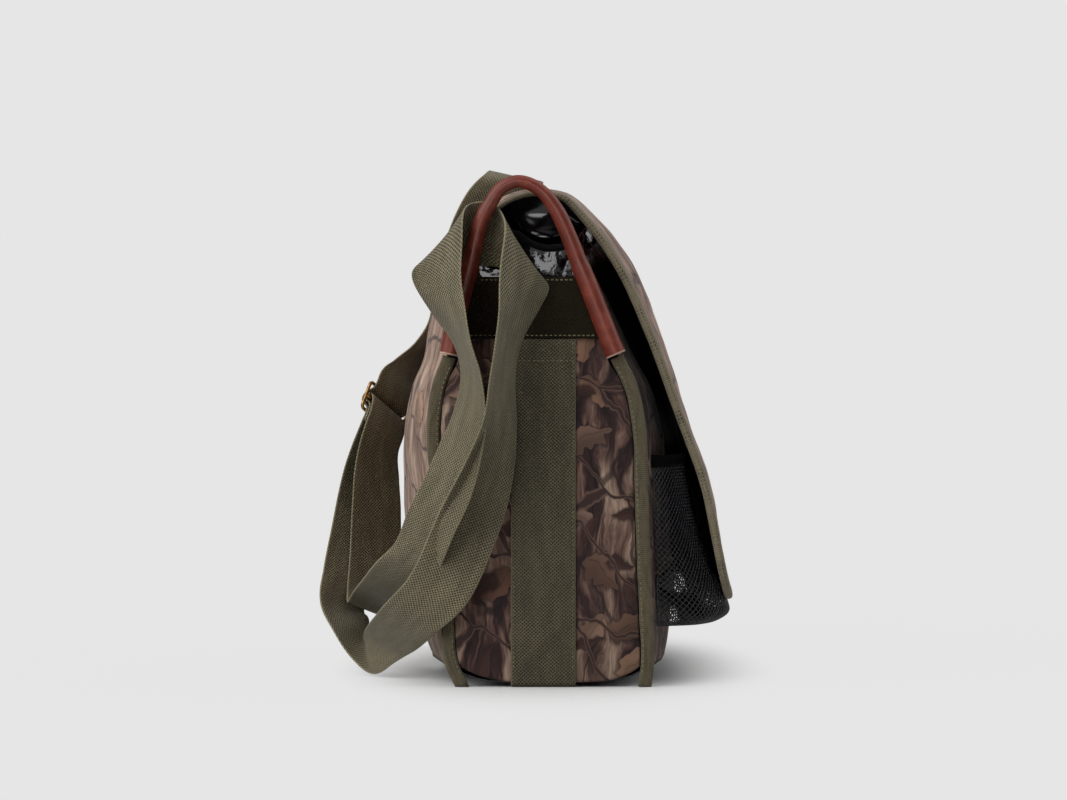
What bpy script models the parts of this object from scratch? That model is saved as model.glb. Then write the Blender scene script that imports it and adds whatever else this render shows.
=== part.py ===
"""Hunting game bag: a camouflage cloth body on two leather-covered hoops, with a flap, a net pouch
and a webbing shoulder strap. Metres, +Z up. The front faces -Y and the bag's length lies along X.
The tables are in millimetres, which the meshes turn into metres as they are made."""

import math

import bmesh
import bpy
import numpy as np
from mathutils import Vector

MM = 0.001

# Driving dimensions, in millimetres
BAG_LENGTH = 380.0
CLOTH = 1.6
FLAP_CLOTH = 1.4
BASE_CLOTH = 1.2
VINYL = 1.2
NET = 1.0
GAP = 0.35
WEBBING_WIDTH = 50.0
WEBBING = 1.8
WEBBING_BEND = 3.2
STRAP = 1.5
STRAP_STEP = 10.0
TAPE_WIDTH = 10.5
TAPE = 4.6
FLAP_TAPE_WIDTH = 9.5
FLAP_TAPE = 4.0
HOOP_LEG_RADIUS = 6.5
HOOP_ARCH_RADIUS = 4.5
HOOP_X = BAG_LENGTH / 2 - 0.5
BODY_TOP = 325.0
BINDING_TOP = 254.0
FLAP_HALF = 176.0
FLAP_CORNER = 38.0
BELLY_POWER = 2.6
CORNER_LIFT = 12.0
BOTTOM_Z = WEBBING + 0.9
GIRTH_Y = 7.0
GIRTH_TOP = 267.6
BAND_HEIGHTS = (268.0, 282.0, 298.0, 314.0)
PANEL_FOOT = 16.5
PANEL_CLEARANCE = 0.8

# Between these heights the hoop's leg takes over from the binding tape
LEG_STARTS = (242.0, 249.0)

# The liner: half length below and above the hoops' legs, and how far it stays inside the panels
LINER_HALF = (184.5, 180.0)
LINER_INSET = 3.2
LINER_LEVELS = (12.5, 26.0, 90.0, 165.0, 235.0, 262.0, 300.0, 326.0, 346.0)
LINER_SAG = 8.0

# The seam where each gusset meets the front and back panels: height, front y, back y
SEAM = (
    (0.0, -71.0, 69.0),
    (16.0, -73.0, 77.0),
    (50.0, -72.3, 81.0),
    (100.0, -70.0, 84.5),
    (150.0, -68.5, 88.0),
    (205.0, -66.0, 91.5),
    (232.0, -60.0, 87.5),
    (254.0, -49.5, 79.5),
    (278.0, -39.5, 75.0),
    (305.0, -29.0, 68.5),
    (325.0, -21.0, 63.0),
    (352.0, -11.0, 56.0),
)

# The free arch of each hoop, over the mouth of the bag: y, z
ARCH = (
    (-12.0, 348.0),
    (-3.0, 367.0),
    (8.0, 381.0),
    (18.0, 387.2),
    (27.0, 389.0),
    (38.0, 384.8),
    (48.0, 372.0),
    (55.0, 358.0),
    (59.5, 341.5),
)

# Thickness of each hoop by height: height, radius
HOOP_RADII = (
    (250.0, HOOP_LEG_RADIUS),
    (320.0, 6.0),
    (332.0, 4.7),
    (400.0, HOOP_ARCH_RADIUS),
)

# How far the panels stand out at mid length: height, front belly, back belly
BELLY = (
    (0.0, 16.0, 18.0),
    (16.0, 20.0, 21.0),
    (54.0, 26.0, 28.0),
    (140.0, 28.0, 33.0),
    (200.0, 24.0, 28.0),
    (255.0, 20.0, 26.0),
    (290.0, 18.0, 25.0),
    (325.0, 14.0, 18.0),
    (352.0, 10.0, 12.0),
)

# The flap along its near edge, back to front: y, z, crown at mid length, and how much closer to
# the bag its far edge hangs
FLAP = (
    (64.0, 327.0, 18.0, 0.0),
    (60.0, 346.0, 15.0, 0.0),
    (49.0, 366.0, 11.0, 0.0),
    (28.0, 380.0, 8.0, 0.0),
    (5.0, 383.0, 8.0, 0.0),
    (-8.0, 380.0, 10.0, 3.0),
    (-26.0, 363.0, 14.0, 10.0),
    (-53.0, 325.0, 19.0, 17.0),
    (-76.0, 275.0, 19.0, 19.0),
    (-99.0, 213.0, 15.0, 21.0),
    (-121.0, 151.0, 13.0, 23.0),
    (-129.0, 112.0, 13.0, 23.0),
    (-138.0, 66.0, 13.0, 22.0),
)

# The net pouch at mid length, from its mouth round its bottom to the panel: height, y
POUCH = (
    (176.0, -107.0),
    (150.0, -112.0),
    (128.0, -117.0),
    (106.0, -124.0),
    (86.0, -132.0),
    (68.0, -141.0),
    (54.0, -145.0),
    (46.0, -131.0),
    (48.0, -113.0),
    (62.0, -102.0),
    (84.0, -60.0),
)
POUCH_HALF = 166.0
POUCH_SLACK = 0.5
POUCH_COLUMNS = 26

# The webbing where its sewn end wraps the slider's middle bar: along the slider, off its plane
SEWN_END = (
    (-22.0, 5.2),
    (-12.0, 5.1),
    (-8.0, 4.6),
    (-4.8, 2.6),
    (-3.5, 0.0),
    (-2.2, -2.4),
    (0.0, -3.2),
    (2.2, -2.4),
    (3.4, 0.0),
    (2.2, 3.2),
    (-1.5, 5.4),
    (-8.0, 7.1),
    (-14.0, 7.8),
    (-24.0, 7.8),
)

# The running webbing where it threads the slider
THREAD = (
    (-24.0, 2.9),
    (-13.0, 3.1),
    (-9.4, 2.2),
    (-7.0, -0.6),
    (-5.0, -3.6),
    (-2.6, -5.6),
    (0.0, -6.2),
    (2.6, -5.6),
    (5.0, -3.6),
    (7.0, -0.6),
    (9.4, 2.2),
    (13.0, 3.3),
    (22.0, 3.6),
)

SLIDER_AT = (8.0, 139.5, 212.0)
SLIDER_ALONG = (0.39, -0.30, 0.87)
SLIDER_LEAN = 43.0
SLIDER_TURN = -46.0
SLIDER_HALF = (29.5, 13.5)
SLIDER_SLOT = (26.5, 10.8, 1.5)
SLIDER_PLATE = 3.0

# The webbing's middle line and the way its width lies. Lean turns the width up from +Y and turn
# takes it out along X: x, y, z, lean, turn
NEAR_LOOPS = (
    (-4.0, 145.0, 160.0, 20.0, -42.0),
    (-5.0, 145.5, 132.0, 8.0, -38.0),
    (-12.0, 146.5, 84.0, 8.0, -34.0),
    (-26.0, 148.5, 57.0, 20.0, -34.0),
    (-44.0, 147.0, 47.5, 24.0, -30.0),
    (-66.0, 140.0, 55.0, 24.0, -20.0),
    (-130.0, 126.0, 70.0, 27.0, 5.0),
    (-162.0, 117.0, 83.0, 28.0, 20.0),
    (-186.0, 104.0, 101.0, 28.0, 36.0),
    (-200.0, 93.0, 127.0, 26.0, 36.0),
    (-208.0, 81.0, 152.0, 22.0, 38.0),
    (-214.0, 71.0, 180.0, 15.0, 46.0),
    (-219.0, 63.0, 212.0, 4.0, 60.0),
    (-223.0, 62.5, 242.0, 0.0, 72.0),
    (-224.0, 68.0, 262.0, 0.0, 74.0),
    (-222.0, 79.0, 288.0, -4.0, 58.0),
    (-214.0, 88.0, 317.0, -18.0, 38.0),
    (-203.0, 85.0, 342.0, -47.0, 10.0),
    (-187.5, 74.0, 349.0, -66.0, 2.0),
    (-181.9, 61.0, 350.0, -76.0, 0.0),
    (-181.9, 48.0, 349.0, -90.0, 0.0),
    (-187.0, 35.0, 344.0, -104.0, 2.0),
    (-203.0, 22.0, 333.0, -126.0, 12.0),
    (-216.0, 25.0, 296.0, -166.0, 50.0),
    (-222.0, 34.0, 263.0, -178.0, 68.0),
    (-225.0, 38.0, 236.0, -178.0, 68.0),
    (-222.0, 40.0, 204.0, -170.0, 60.0),
    (-213.0, 49.5, 164.0, -162.0, 38.0),
    (-204.0, 66.0, 122.0, -152.0, 10.0),
    (-199.0, 91.0, 71.0, -152.0, -16.0),
    (-188.0, 108.0, 54.0, -152.0, -24.0),
    (-162.0, 121.0, 40.0, -152.0, -30.0),
    (-112.0, 137.0, 25.0, -138.0, -46.0),
    (-86.0, 148.5, 15.5, -106.0, -57.0),
    (-74.0, 154.0, 23.0, -70.0, -60.0),
    (-64.0, 163.0, 38.0, -18.0, -58.0),
    (-48.0, 171.0, 50.0, 16.0, -46.0),
    (-26.0, 167.0, 78.0, 10.0, -34.0),
    (-6.0, 161.0, 115.0, 8.0, -34.0),
    (4.0, 154.0, 158.0, 22.0, -40.0),
)
FAR_STRAND = (
    (38.0, 123.5, 247.0, 45.0, -64.0),
    (80.0, 109.0, 266.0, 46.0, -72.0),
    (112.0, 98.0, 286.0, 45.0, -68.0),
    (134.0, 92.0, 328.0, 36.0, -62.0),
    (142.0, 82.0, 352.0, 30.0, -60.0),
    (147.0, 68.0, 378.0, 20.0, -48.0),
    (151.0, 49.0, 403.0, 14.0, -28.0),
    (157.0, 35.0, 417.0, 9.0, -14.0),
    (167.0, 30.0, 420.0, 12.0, -6.0),
    (178.0, 43.0, 404.0, -34.0, 0.0),
)

# The webbing's end loop round the far hoop, on the shoulder of its arch
END_LOOP_AT = (HOOP_X, 46.8, 367.6)
END_LOOP_LEAN = -54.0
END_LOOP_RADII = (7.0, 10.8)
END_LOOP_TURN = 292.0

ROUNDED = (
    (-1.0, 0.0), (-0.78, -0.8), (0.0, -1.0), (0.78, -0.8),
    (1.0, 0.0), (0.78, 0.8), (0.0, 1.0), (-0.78, 0.8),
)
FLAT = ((-1.0, -1.0), (1.0, -1.0), (1.0, 1.0), (-1.0, 1.0))


def clear_scene():
    for obj in list(bpy.data.objects):
        bpy.data.objects.remove(obj, do_unlink=True)


def material(name, colour, roughness, metallic=0.0):
    made = bpy.data.materials.new(name)
    made.use_nodes = True
    shader = made.node_tree.nodes["Principled BSDF"]
    shader.inputs["Base Color"].default_value = (*colour, 1.0)
    shader.inputs["Roughness"].default_value = roughness
    shader.inputs["Metallic"].default_value = metallic
    return made


def smooth_through(knots, values, wanted):
    """A smooth curve through the rows of values, one at each knot."""
    knots = np.asarray(knots, float)
    values = np.asarray(values, float)
    wanted = np.clip(np.asarray(wanted, float), knots[0], knots[-1])
    slopes = np.gradient(values, knots, axis=0)
    left = np.clip(np.searchsorted(knots, wanted, side="right") - 1, 0, len(knots) - 2)
    span = knots[left + 1] - knots[left]
    u = (wanted - knots[left]) / span
    if values.ndim > 1:
        span, u = span[..., None], u[..., None]
    return (
        (1 + 2 * u) * (1 - u) ** 2 * values[left]
        + u * (1 - u) ** 2 * span * slopes[left]
        + u * u * (3 - 2 * u) * values[left + 1]
        + u * u * (u - 1) * span * slopes[left + 1]
    )


def path_lengths(points):
    steps = np.linalg.norm(np.diff(points, axis=0), axis=1)
    return np.concatenate([[0.0], np.cumsum(steps)])


def resample(rows, count, place_columns):
    """Even steps along a smooth path through rows, whose first columns are the place."""
    rows = np.asarray(rows, float)
    lengths = path_lengths(rows[:, :place_columns])
    return smooth_through(lengths, rows, np.linspace(0.0, lengths[-1], count))


def seam_y(side, z):
    """The seam's y at a height: side -1 is the front and +1 the back."""
    table = np.array(SEAM)
    return smooth_through(table[:, 0], table[:, 1 if side < 0 else 2], z)


def belly(side, z):
    table = np.array(BELLY)
    return smooth_through(table[:, 0], table[:, 1 if side < 0 else 2], z)


def swell(x, half=BAG_LENGTH / 2):
    """Nought at the gussets and one at mid length."""
    return 1.0 - np.minimum(np.abs(x) / half, 1.0) ** BELLY_POWER


def panel_y(side, x, z):
    return seam_y(side, z) + side * belly(side, z) * swell(x)


def step_up(value, low, high):
    u = np.clip((value - low) / (high - low), 0.0, 1.0)
    return u * u * (3 - 2 * u)


def grid_faces(rows, columns, holes=(), ring=False):
    """Quads of a grid of points. A ring joins its last column to its first."""
    faces = []
    for i in range(rows - 1):
        for j in range(columns if ring else columns - 1):
            k = (j + 1) % columns
            if (i, j) not in holes:
                faces.append(
                    (i * columns + j, i * columns + k, (i + 1) * columns + k, (i + 1) * columns + j)
                )
    return faces


def add_object(name, points, faces, finish, facing=None):
    """A mesh object from points in millimetres. Facing is the way that an open sheet's face looks."""
    mesh = bpy.data.meshes.new(name)
    mesh.from_pydata([tuple(p) for p in np.asarray(points) * MM], [], faces)
    work = bmesh.new()
    work.from_mesh(mesh)
    bmesh.ops.recalc_face_normals(work, faces=work.faces)
    if facing is not None:
        total = Vector((0.0, 0.0, 0.0))
        for face in work.faces:
            total += face.normal * face.calc_area()
        if total.dot(Vector(facing)) < 0:
            bmesh.ops.reverse_faces(work, faces=work.faces)
    work.to_mesh(mesh)
    work.free()
    mesh.shade_smooth()
    mesh.set_sharp_from_angle(angle=math.radians(40))
    mesh.materials.append(finish)
    obj = bpy.data.objects.new(name, mesh)
    bpy.context.scene.collection.objects.link(obj)
    return obj


def thicken(obj, thickness):
    """Adds the thickness behind the face that the sheet shows."""
    solid = obj.modifiers.new("thickness", "SOLIDIFY")
    solid.thickness = thickness * MM
    solid.offset = -1.0
    solid.use_even_offset = False
    return obj


def sheet(name, grid, thickness, finish, facing, holes=()):
    rows, columns = grid.shape[:2]
    faces = grid_faces(rows, columns, holes)
    return thicken(add_object(name, grid.reshape(-1, 3), faces, finish, facing), thickness)


def split_alike(faces, section):
    """Triangles whose diagonals run the same way on both faces of a twisted band."""
    sides = len(section)
    split = []
    for a, b, c, d in faces:
        if section[a % sides][0] < section[b % sides][0]:
            split.extend([(a, b, c), (a, c, d)])
        else:
            split.extend([(a, b, d), (b, c, d)])
    return split


def sweep(name, centres, across, over, half_width, half_thickness, section, finish, twisted=False):
    """A closed bar whose section lies along two unit directions at each point of a path."""
    sides = len(section)
    points = []
    for centre, wide, thick in zip(centres, across, over):
        for u, v in section:
            points.append(centre + wide * (u * half_width) + thick * (v * half_thickness))
    faces = grid_faces(len(centres), sides, ring=True)
    if twisted:
        faces = split_alike(faces, section)
    faces.append(tuple(range(sides))[::-1])
    faces.append(tuple(range((len(centres) - 1) * sides, len(centres) * sides)))
    return add_object(name, points, faces, finish)


def unit(vectors):
    return vectors / np.linalg.norm(vectors, axis=-1, keepdims=True)


def make_panel(name, side, finish):
    """Front or back cloth panel, bellied out between its bindings, with an open top."""
    upper = [LEG_STARTS[1], 256.0, 272.0, 298.0, BODY_TOP]
    heights = np.concatenate([np.linspace(PANEL_FOOT, 240.0, 9), upper])
    across = np.sin(np.linspace(-math.pi / 2, math.pi / 2, 15))
    grid = np.empty((len(heights), len(across), 3))
    for i, z in enumerate(heights):
        edge = HOOP_X - TAPE / 2 - PANEL_CLEARANCE
        edge -= step_up(z, *LEG_STARTS) * (HOOP_LEG_RADIUS - TAPE / 2)
        x = across * edge
        grid[i, :, 0] = x
        grid[i, :, 1] = panel_y(side, x, z)
        grid[i, :, 2] = z
    return sheet(name, grid, CLOTH, finish, (0, side, 0))


def bottom_height(v):
    """The underside's lift towards the front and back seams, v running from -1 to 1."""
    return BOTTOM_Z + CORNER_LIFT * np.abs(v) ** 5


def make_bottom(finish):
    x = np.linspace(-1.0, 1.0, 13) * (HOOP_X - TAPE / 2 - GAP)
    v = np.sin(np.linspace(-math.pi / 2, math.pi / 2, 11))
    grid = np.empty((len(x), len(v), 3))
    for i, place in enumerate(x):
        front = panel_y(-1, place, PANEL_FOOT)
        back = panel_y(1, place, PANEL_FOOT)
        grid[i, :, 0] = place
        grid[i, :, 1] = front + (back - front) * (v + 1) / 2
        grid[i, :, 2] = bottom_height(v)
    return sheet("bottom_panel", grid, BASE_CLOTH, finish, (0, 0, -1))


def gusset_edge(side, z):
    """Where the gusset's cloth stops short of the seam: at the tape below, at the hoop's leg above."""
    half = TAPE_WIDTH / 2 + step_up(z, 238.0, 248.0) * (HOOP_LEG_RADIUS - TAPE_WIDTH / 2)
    slope = (seam_y(side, z + 1.0) - seam_y(side, z - 1.0)) / 2.0
    return seam_y(side, z) - side * (half * np.sqrt(1.0 + slope**2) + 2 * GAP)


def make_gusset(name, end, finish):
    v = np.linspace(-1.0, 1.0, 9)
    rise = np.linspace(0.0, 1.0, 15)
    grid = np.empty((len(rise), len(v), 3))
    low = bottom_height(v) + 1.0
    for i, part in enumerate(rise):
        z = low + (BODY_TOP - 12.0 - low) * part
        front = gusset_edge(-1, z)
        back = gusset_edge(1, z)
        grid[i, :, 0] = end * BAG_LENGTH / 2
        grid[i, :, 1] = front + (back - front) * (v + 1) / 2
        grid[i, :, 2] = z
    return sheet(name, grid, CLOTH, finish, (end, 0, 0))


def make_top_band(name, end, finish):
    """Webbing sewn level across the top of a gusset, between the hoop's legs."""
    v = np.linspace(0.0, 1.0, 7)
    grid = np.empty((len(BAND_HEIGHTS), len(v), 3))
    for i, height in enumerate(BAND_HEIGHTS):
        front = gusset_edge(-1, height)
        back = gusset_edge(1, height)
        grid[i, :, 0] = end * (BAG_LENGTH / 2 + GAP + WEBBING)
        grid[i, :, 1] = front + (back - front) * v
        grid[i, :, 2] = height
    return sheet(name, grid, WEBBING, finish, (end, 0, 0))


def make_girth_webbing(finish):
    """One length of webbing down a gusset, under the bottom and up the other gusset."""
    reach = BAG_LENGTH / 2 + GAP + WEBBING / 2
    middle = WEBBING / 2
    bend = WEBBING_BEND
    arc = np.radians([0.0, 30.0, 60.0, 90.0])
    corner = np.stack([-reach + bend - bend * np.cos(arc), middle + bend - bend * np.sin(arc)], 1)
    side = np.stack([np.full(4, -reach), np.array([GIRTH_TOP, 180.0, 90.0, 30.0])], 1)
    half = np.concatenate([side, corner])
    path = np.concatenate([half, half[::-1] * (-1, 1)])
    centres = np.stack([path[:, 0], np.full(len(path), GIRTH_Y), path[:, 1]], 1)
    along = unit(np.gradient(centres, axis=0))
    across = np.tile([0.0, 1.0, 0.0], (len(centres), 1))
    over = np.cross(along, across)
    return sweep(
        "girth_webbing", centres, across, over, WEBBING_WIDTH / 2, middle, FLAT, finish
    )


def make_binding(name, side, end, finish):
    """Tape bound over a gusset's seam, from the floor to the hoop's leather."""
    z = np.concatenate([[0.4, 6.0, 14.0], np.linspace(30.0, BINDING_TOP, 11)])
    centres = np.stack([np.full(len(z), end * HOOP_X), seam_y(side, z), z], 1)
    along = unit(np.gradient(centres, axis=0))
    over = np.tile([float(end), 0.0, 0.0], (len(z), 1))
    across = np.cross(over, along)
    across[0] = (0.0, 1.0, 0.0)
    return sweep(name, centres, across, over, TAPE_WIDTH / 2, TAPE / 2, ROUNDED, finish)


def hoop_line():
    """The middle line of a hoop in y and z, up the front leg, over the arch and down the back."""
    legs = np.array([BINDING_TOP + 1.4, 266.0, 280.0, 296.0, 311.0, BODY_TOP])
    front = np.stack([seam_y(-1, legs), legs], 1)
    back = np.stack([seam_y(1, legs), legs], 1)[::-1]
    return np.concatenate([front, np.array(ARCH), back])


def make_hoop(name, end, finish):
    line = resample(hoop_line(), 34, 2)
    radii = np.array(HOOP_RADII)
    curve = bpy.data.curves.new(name, "CURVE")
    curve.dimensions = "3D"
    curve.bevel_depth = HOOP_ARCH_RADIUS * MM
    curve.bevel_resolution = 3
    curve.use_fill_caps = True
    spline = curve.splines.new("POLY")
    spline.points.add(len(line) - 1)
    for point, (y, z) in zip(spline.points, line):
        point.co = (end * HOOP_X * MM, y * MM, z * MM, 1.0)
        point.radius = np.interp(z, radii[:, 0], radii[:, 1]) / HOOP_ARCH_RADIUS
    curve.materials.append(finish)
    obj = bpy.data.objects.new(name, curve)
    bpy.context.scene.collection.objects.link(obj)
    return obj


def flap_half_width(lengths, end, inset):
    """Half of the flap's width inside an inset line, which its rounded lower corners draw in."""
    corner = FLAP_CORNER - inset
    short = np.clip(corner - (end - lengths), 0.0, corner)
    return FLAP_HALF - FLAP_CORNER + np.sqrt(corner**2 - short**2)


def flap_point(x, row, normal):
    """A point of the flap's outer face: the crown lifts it along the profile's own normal."""
    y, z, crown, pull = row
    lift = crown * (1.0 - np.minimum(np.abs(x) / FLAP_HALF, 1.0) ** 2.4)
    closer = pull * (x + FLAP_HALF) / (2 * FLAP_HALF)
    return np.stack([x, y + normal[0] * lift + closer, z + normal[1] * lift], axis=-1)


def flap_grid(rows, corner_rows, columns, inset, depth):
    """The flap's sheet, inset from its edges and set back from its outer face."""
    lengths = path_lengths(np.array(FLAP)[:, :2])
    end = lengths[-1] - inset
    corner = FLAP_CORNER - inset
    arc = np.sin(np.linspace(0.0, math.pi / 2, corner_rows + 1)[1:])
    places = np.concatenate([np.linspace(0.0, end - corner, rows), end - corner + corner * arc])
    table = smooth_through(lengths, np.array(FLAP), places)
    tangent = unit(np.gradient(table[:, :2], axis=0))
    normal = np.stack([tangent[:, 1], -tangent[:, 0]], 1)
    half = flap_half_width(places, end, inset)
    grid = np.empty((len(places), columns, 3))
    for i in range(len(places)):
        x = np.linspace(-1.0, 1.0, columns) * half[i]
        grid[i] = flap_point(x, table[i], normal[i])
        grid[i, :, 1:] -= normal[i] * depth
    return grid


def make_flap(cloth, vinyl):
    sheet("flap", flap_grid(16, 4, 12, FLAP_TAPE_WIDTH, 0.0), FLAP_CLOTH, cloth, (0, -1, 1))
    lining = flap_grid(16, 4, 12, FLAP_TAPE_WIDTH, FLAP_CLOTH + 2 * GAP)
    sheet("flap_lining", lining[1:], VINYL, vinyl, (0, -1, 1))


def make_flap_binding(finish):
    """Tape round the flap's near side, lower edge and far side, in one length."""
    half = FLAP_TAPE_WIDTH / 2 - GAP
    depth = FLAP_TAPE / 2 + 0.2
    grid = flap_grid(24, 5, 9, half, depth)
    last = grid[-1]
    path = np.concatenate([grid[1:, 0], last[1:-1], grid[1:, -1][::-1]])
    grid_in = flap_grid(24, 5, 9, half + FLAP_TAPE, depth)
    inner = np.concatenate([grid_in[1:, 0], grid_in[-1][1:-1], grid_in[1:, -1][::-1]])
    along = unit(np.gradient(path, axis=0))
    out = path - inner
    out -= along * np.sum(out * along, axis=1, keepdims=True)
    across = unit(out)
    over = np.cross(along, across)
    return sweep("flap_binding", path, across, over, half, FLAP_TAPE / 2, ROUNDED, finish)


def make_liner(finish):
    """Thin vinyl liner inside the bag, whose rim stands up in the arch of each hoop."""
    across = np.sin(np.linspace(-math.pi / 2, math.pi / 2, 11))
    ends = np.linspace(0.0, 1.0, 6)[1:-1]
    rings = []
    for z in LINER_LEVELS:
        half = np.interp(z, (225.0, 245.0), LINER_HALF)
        x = across * half
        low = min(z, 340.0)
        inset = LINER_INSET + 9.0 * (1.0 - step_up(z, 14.0, 24.0))
        front = np.stack([x, panel_y(-1, x, low) + inset, np.full(len(x), z)], 1)
        inset += 5.0 * step_up(z, 326.0, 342.0)
        back = np.stack([x, panel_y(1, x, low) - inset, np.full(len(x), z)], 1)[::-1]
        far = front[-1] + (back[0] - front[-1]) * ends[:, None]
        near = back[-1] + (front[0] - back[-1]) * ends[:, None]
        ring = np.concatenate([front, far, back, near])
        if z == LINER_LEVELS[-1]:
            sag = 1.0 - ((ring[:, 1] - 21.0) / 40.0) ** 2
            at_end = np.abs(ring[:, 0]) > half - 1.0
            ring[:, 2] -= LINER_SAG * np.clip(sag, 0.0, 1.0) * at_end
        rings.append(ring)
    grid = np.array(rings)
    count = grid.shape[1]
    faces = grid_faces(len(rings), count, ring=True)
    faces.append(tuple(range(count)))
    return thicken(add_object("liner", grid.reshape(-1, 3), faces, finish), VINYL)


def make_net_pouch(finish):
    """Net pouch on the front, under the flap, with its netting cut through in rows."""
    profile = resample(np.array(POUCH)[:, ::-1], 19, 2)
    turn = math.radians(82)
    x = POUCH_HALF * np.sin(np.linspace(-turn, turn, POUCH_COLUMNS + 1)) / math.sin(turn)
    grid = np.empty((len(profile), len(x), 3))
    stand = 1.0 - (np.abs(x) / POUCH_HALF) ** np.where(x < 0, 11, 7)
    stand = stand * (1.0 - POUCH_SLACK * (x + POUCH_HALF) / (2 * POUCH_HALF))
    for i, (y, z) in enumerate(profile):
        wall = panel_y(-1, x, z) - NET - GAP
        grid[i, :, 0] = x
        grid[i, :, 1] = wall - np.maximum(wall - y, 0.0) * stand
        grid[i, :, 2] = z
    holes = {
        (i, j)
        for i in range(1, len(profile) - 4, 2)
        for j in range(3, POUCH_COLUMNS - 2, 2)
    }
    return sheet("net_pouch", grid, NET, finish, (0, -1, 0), holes)


def width_direction(lean, turn):
    lean, turn = np.radians(lean), np.radians(turn)
    return np.stack(
        [np.sin(turn), np.cos(turn) * np.cos(lean), np.cos(turn) * np.sin(lean)], axis=-1
    )


def slider_frame():
    """The slider's middle, and its unit directions across, along and out of its plane."""
    along = unit(np.array(SLIDER_ALONG))
    across = width_direction(SLIDER_LEAN, SLIDER_TURN)
    across = unit(across - along * np.dot(across, along))
    return np.array(SLIDER_AT), across, along, np.cross(along, across)


def slider_rows(table):
    """Webbing rows where it lies in the slider."""
    middle, _, along, out = slider_frame()
    return [
        (*(middle + along * v + out * q), SLIDER_LEAN, SLIDER_TURN) for v, q in table
    ]


def end_loop_rows():
    """Webbing rows round the far hoop, inwards past it, under it and back over it."""
    middle = np.array(END_LOOP_AT)
    lean = math.radians(END_LOOP_LEAN)
    outward = np.array([0.0, -math.sin(lean), math.cos(lean)])
    rows = []
    for degrees in np.linspace(150.0, 150.0 + END_LOOP_TURN, 13):
        angle = math.radians(degrees)
        place = middle + outward * END_LOOP_RADII[1] * math.sin(angle)
        place[0] += END_LOOP_RADII[0] * math.cos(angle)
        rows.append((*place, END_LOOP_LEAN, 0.0))
    return rows


def make_strap(finish):
    """One length of webbing: slider, round the near hoop, slider again, and up to the far hoop."""
    rows = np.array(
        slider_rows(SEWN_END)
        + list(NEAR_LOOPS)
        + slider_rows(THREAD)
        + list(FAR_STRAND)
        + end_loop_rows()
    )
    lengths = path_lengths(rows[:, :3])
    wanted = [0.0]
    for start, end in zip(lengths[:-1], lengths[1:]):
        steps = max(1, round((end - start) / STRAP_STEP))
        wanted.extend(start + (end - start) * (k + 1) / steps for k in range(steps))
    stations = smooth_through(lengths, rows, np.array(wanted))
    centres = stations[:, :3]
    along = unit(np.gradient(centres, axis=0))
    across = width_direction(stations[:, 3], stations[:, 4])
    over = unit(np.cross(along, across))
    return sweep(
        "shoulder_strap", centres, across, over, WEBBING_WIDTH / 2, STRAP / 2, FLAT, finish, twisted=True
    )


def make_slider(finish):
    """Three-bar slider: a plate with two slots, its edges rounded off."""
    reach, rail = SLIDER_HALF
    slot_reach, slot_far, slot_near = SLIDER_SLOT
    u = np.array([-reach, -slot_reach, slot_reach, reach])
    v = np.array([-rail, -slot_far, -slot_near, slot_near, slot_far, rail])
    middle, across, along, out = slider_frame()
    grid = np.empty((len(v), len(u), 3))
    for i, up in enumerate(v):
        for j, side in enumerate(u):
            grid[i, j] = middle + across * side + along * up + out * SLIDER_PLATE / 2
    slots = {(1, 1), (3, 1)}
    plate = sheet("strap_slider", grid, SLIDER_PLATE, finish, tuple(out), slots)
    soften = plate.modifiers.new("rounded edges", "BEVEL")
    soften.width = 0.7 * MM
    soften.segments = 1
    soften.limit_method = "ANGLE"
    return plate


def main():
    clear_scene()
    camouflage = material("printed_camouflage_cloth", (0.13, 0.085, 0.07), 0.8)
    olive = material("olive_webbing", (0.1, 0.095, 0.055), 0.85)
    tape = material("olive_binding_tape", (0.085, 0.082, 0.045), 0.8)
    black = material("black_coated_cloth", (0.012, 0.012, 0.014), 0.5)
    vinyl = material("black_vinyl", (0.01, 0.01, 0.013), 0.2)
    net = material("black_net", (0.012, 0.011, 0.012), 0.35)
    leather = material("brown_leather", (0.25, 0.06, 0.035), 0.45)
    brass = material("antique_brass", (0.2, 0.14, 0.07), 0.35, 1.0)
    make_panel("front_panel", -1, camouflage)
    make_panel("back_panel", 1, camouflage)
    make_bottom(black)
    for word, end in (("left", -1), ("right", 1)):
        make_gusset(f"gusset_{word}", end, camouflage)
        make_top_band(f"top_band_{word}", end, olive)
        make_hoop(f"hoop_{word}", end, leather)
        make_binding(f"binding_front_{word}", -1, end, tape)
        make_binding(f"binding_back_{word}", 1, end, tape)
    make_girth_webbing(olive)
    make_liner(vinyl)
    make_net_pouch(net)
    make_flap(camouflage, vinyl)
    make_flap_binding(tape)
    make_strap(olive)
    make_slider(brass)


main()
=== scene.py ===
"""Looks of the hunting game bag: cloth, webbing, tape, leather, vinyl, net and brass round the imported
frame. Metres, +Z up. The front faces -Y and the bag's length lies along X, as in the part's source.
The shape tables are in millimetres, which the meshes turn into metres as they are made."""

import math

import bpy
import numpy as np
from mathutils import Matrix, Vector, noise

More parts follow.
